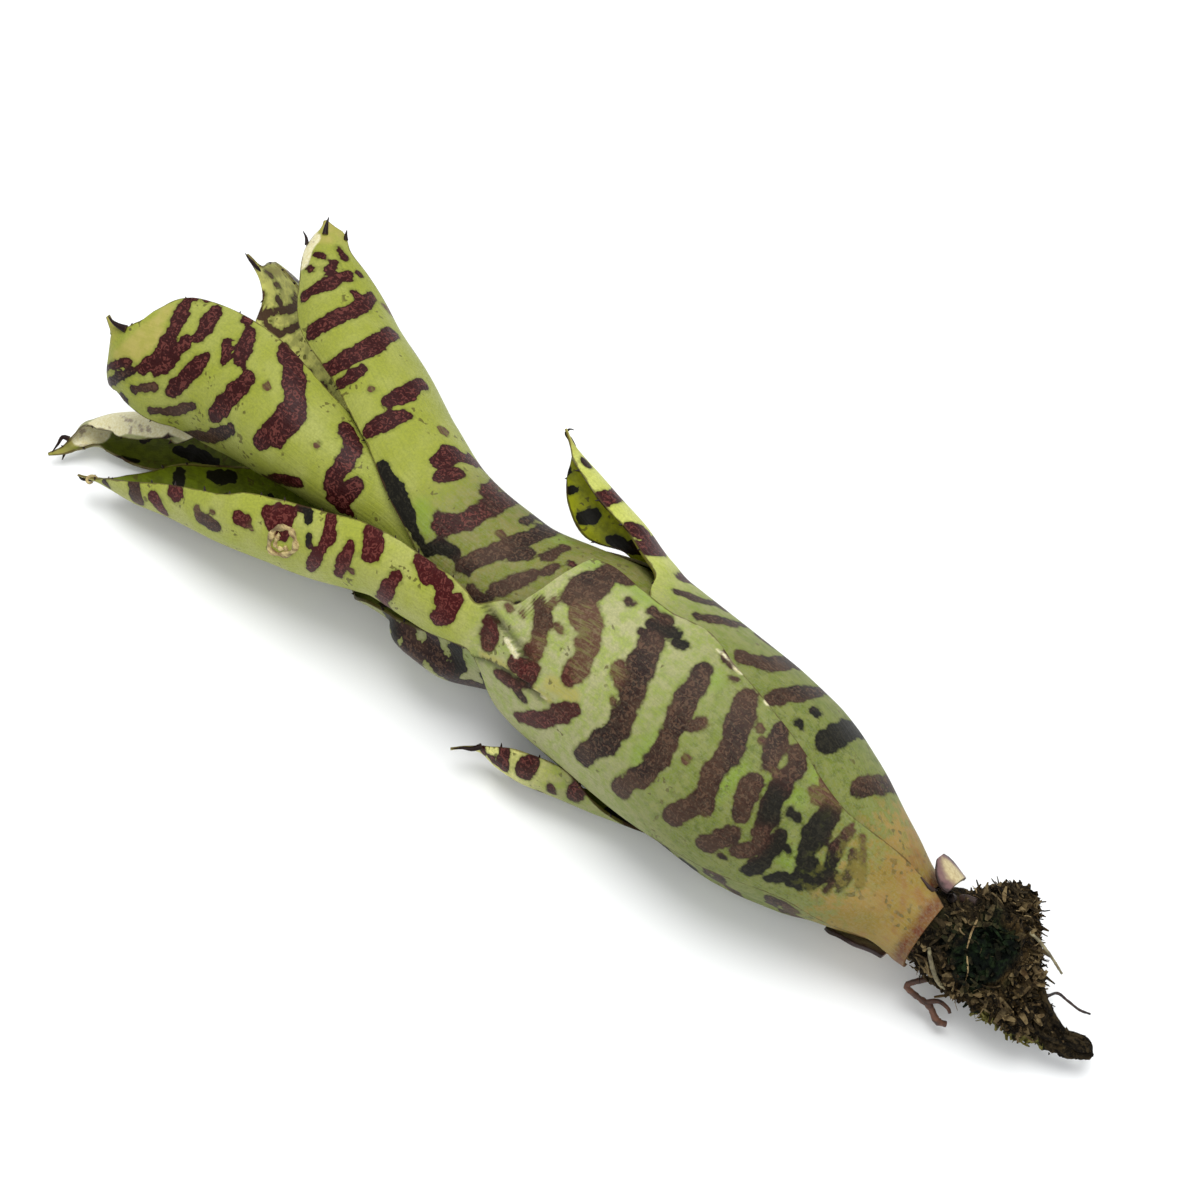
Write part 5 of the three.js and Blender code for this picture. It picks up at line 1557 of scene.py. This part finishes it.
def make_strand(name, strand, material):
    shape = Shape()
    path = np.array(strand["path"])
    s = distances(path)
    u = np.linspace(0, s[-1], 40)
    fine = through(s, path)(u)
    rng = random.Random(len(name))
    radii = np.interp(u, s, strand["radius"]) * np.array([rng.uniform(0.84, 1.1) for _ in u])
    points, faces = tube(fine, radii, 10)
    shape.add(points, faces, points, UNMARKED, PLAIN)
    if name == "root_reddish":
        branch = through(np.arange(4.0), np.array(BRANCH))(np.linspace(0, 3, 14))
        points, faces = tube(branch, np.linspace(0.45, 0.25, 14), 8)
        shape.add(points, faces, points, UNMARKED, PLAIN)
    piece = shape.build(name + "_fine", material, 70)
    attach(piece, "root")
    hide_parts(name)


def make_crack_shade(tree, material):
    """A dark strip along the crack between the outer sheath and the old leaf base: painted shade of the
    crack.
    """
    path = pixel_path(tree, CRACK_SHADE_PIXELS, 0.15)
    widths = np.interp(np.linspace(0, 1, len(path)), [0, 0.3, 0.7, 1], [0.12, 0.42, 0.75, 0.6])
    points, faces = tube(path, widths, 8)
    fix("foot_crack_shade", points, faces, material)


# Small things on the leaves
def fix(name, points, faces, material, smooth_angle=60):
    shape = Shape()
    shape.add(points, faces, points, UNMARKED, PLAIN)
    piece = shape.build(name, material, smooth_angle)
    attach(piece, "root")
    return piece


def make_callus(skin, material):
    """A healed ring scar on the outer leaf's blade."""
    rng = random.Random(61)
    rim = []
    for k in range(28):
        turn = 2 * math.pi * k / 28
        x = CALLUS_PIXEL[0] + 13.0 * math.cos(turn) * (1 + 0.1 * math.sin(3 * turn))
        y = CALLUS_PIXEL[1] + 15.0 * math.sin(turn) * (1 + 0.1 * math.cos(2 * turn))
        place, _, row, column = skin.land(x, y)
        out = skin.surface["out"][row, column]
        rim.append(place + out * rng.uniform(0.0, 0.12))
    rim = np.array(rim + rim[:2])
    points, faces = tube(rim, 0.5 + 0.18 * np.sin(np.arange(len(rim)) * 1.3), 8)
    fix("callus_ring", points, faces, material)
    middle = rim.mean(axis=0)
    inside = middle + (rim[4:20] - middle) * 0.55
    points, faces = tube(inside, 0.4 + 0.14 * np.sin(np.arange(len(inside)) * 1.7), 8)
    fix("callus_core", points, faces, material)


def make_tip_curl(skin, material):
    """The dry curled end of the outer leaf's tip."""
    place, _, _, _ = skin.land(*CURL_PIXEL)
    turn = np.linspace(0.0, 1.75 * math.pi, 26)
    reach = np.linspace(0.95, 0.5, 26)
    path = [place + RIGHT * r * math.cos(t) + UP * r * math.sin(t) * 0.9 + BACK * 0.06 * k
            for k, (t, r) in enumerate(zip(turn, reach))]
    points, faces = tube(np.array(path), np.linspace(0.34, 0.22, 26), 8)
    fix("tip_curl", points, faces, material)


# Stage
FLOOR_HALF = 3.0
FLOOR_WHITE = (0.93, 0.94, 0.94, 1.0)
SKY_COLOUR = (0.97, 0.985, 1.0, 1.0)
SKY_STRENGTH = 0.55
LIT_PLACE = (0.03, 0.0, 0.015)
KEY_PLACE = (0.07, -0.12, 0.74)
KEY_SIZE = 0.5
KEY_POWER = 4.6
FILL_PLACE = (-0.3, 0.32, 0.7)
FILL_SIZE = 0.8
FILL_POWER = 1.6


def make_floor():
    corners = [(x * FLOOR_HALF, y * FLOOR_HALF, 0) for x, y in ((-1, -1), (1, -1), (1, 1), (-1, 1))]
    mesh = bpy.data.meshes.new("floor")
    mesh.from_pydata(corners, [], [(0, 1, 2, 3)])
    floor = bpy.data.objects.new("floor", mesh)
    bpy.context.scene.collection.objects.link(floor)
    n = Nodes("floor_white")
    n.shader.inputs["Base Color"].default_value = FLOOR_WHITE
    n.shader.inputs["Roughness"].default_value = 0.9
    n.shader.inputs["Specular IOR Level"].default_value = 0.1
    mesh.materials.append(n.material)


def make_light(name, place, target, size, power):
    light = bpy.data.lights.new(name, "AREA")
    light.shape = "DISK"
    light.size = size
    light.energy = power
    lamp = bpy.data.objects.new(name, light)
    lamp.location = place
    way = Vector(target) - Vector(place)
    lamp.rotation_euler = way.to_track_quat("-Z", "Y").to_euler()
    bpy.context.scene.collection.objects.link(lamp)


def make_lights():
    world = bpy.context.scene.world or bpy.data.worlds.new("world")
    bpy.context.scene.world = world
    world.use_nodes = True
    sky = world.node_tree.nodes["Background"]
    sky.inputs["Color"].default_value = SKY_COLOUR
    sky.inputs["Strength"].default_value = SKY_STRENGTH
    make_light("key", KEY_PLACE, LIT_PLACE, KEY_SIZE, KEY_POWER)
    make_light("fill", FILL_PLACE, LIT_PLACE, FILL_SIZE, FILL_POWER)


def make_camera():
    data = bpy.data.cameras.new("camera")
    data.lens = FOCAL_MM
    data.sensor_width = SENSOR_MM
    data.sensor_fit = "HORIZONTAL"
    data.clip_start = 0.01
    camera = bpy.data.objects.new("camera", data)
    camera.location = Vector(EYE * MM)
    camera.rotation_euler = Vector(-BACK).to_track_quat("-Z", "Y").to_euler()
    bpy.context.scene.collection.objects.link(camera)
    bpy.context.scene.camera = camera


def main():
    bpy.context.scene.view_settings.view_transform = "Standard"
    make_camera()
    make_floor()
    make_lights()
    blade = leaf_material(*PLAIN_BLADE)
    kinds = {name: leaf_material(*greens) for name, greens in LEAF_LOOKS.items()}
    tree = solid_tree()
    skins = {name: make_leaf(name, leaf, kinds.get(name, blade), tree) for name, leaf in LEAVES.items()}
    old = old_leaf_material()
    for name, leaf in OLD_BASES.items():
        make_leaf(name, leaf, old, tree)
    callus = dry_material("callus", (206, 188, 128), (112, 78, 44), 1.1)
    make_callus(skins["leaf_outer_left"], callus)
    make_tip_curl(skins["leaf_outer_left"], callus)
    make_clump(clump_material())
    # Dark brown of the strip that stands in for the shade in the crack at the sheath's foot
    crack_shade_look = dry_material("crack_shade", (58, 36, 26), (26, 16, 12), 0.9)
    make_crack_shade(tree, crack_shade_look)
    looks = {
        "root_red": dry_material("root_red", (104, 66, 44), (56, 32, 22), 1.2, 0.6),
        "root_dark": dry_material("root_dark", (62, 40, 32), (26, 16, 12), 1.5, 0.6),
        "straw": dry_material("straw", (150, 142, 108), (104, 92, 64), 1.2),
    }
    for name, strand in STRANDS.items():
        make_strand(name, strand, looks[strand["slot"]])
    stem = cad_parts["stem"]
    bark = dry_material("stem_bark", (110, 62, 32), (58, 28, 16), 0.8)
    stem.data.materials.clear()
    stem.data.materials.append(bark)


main()
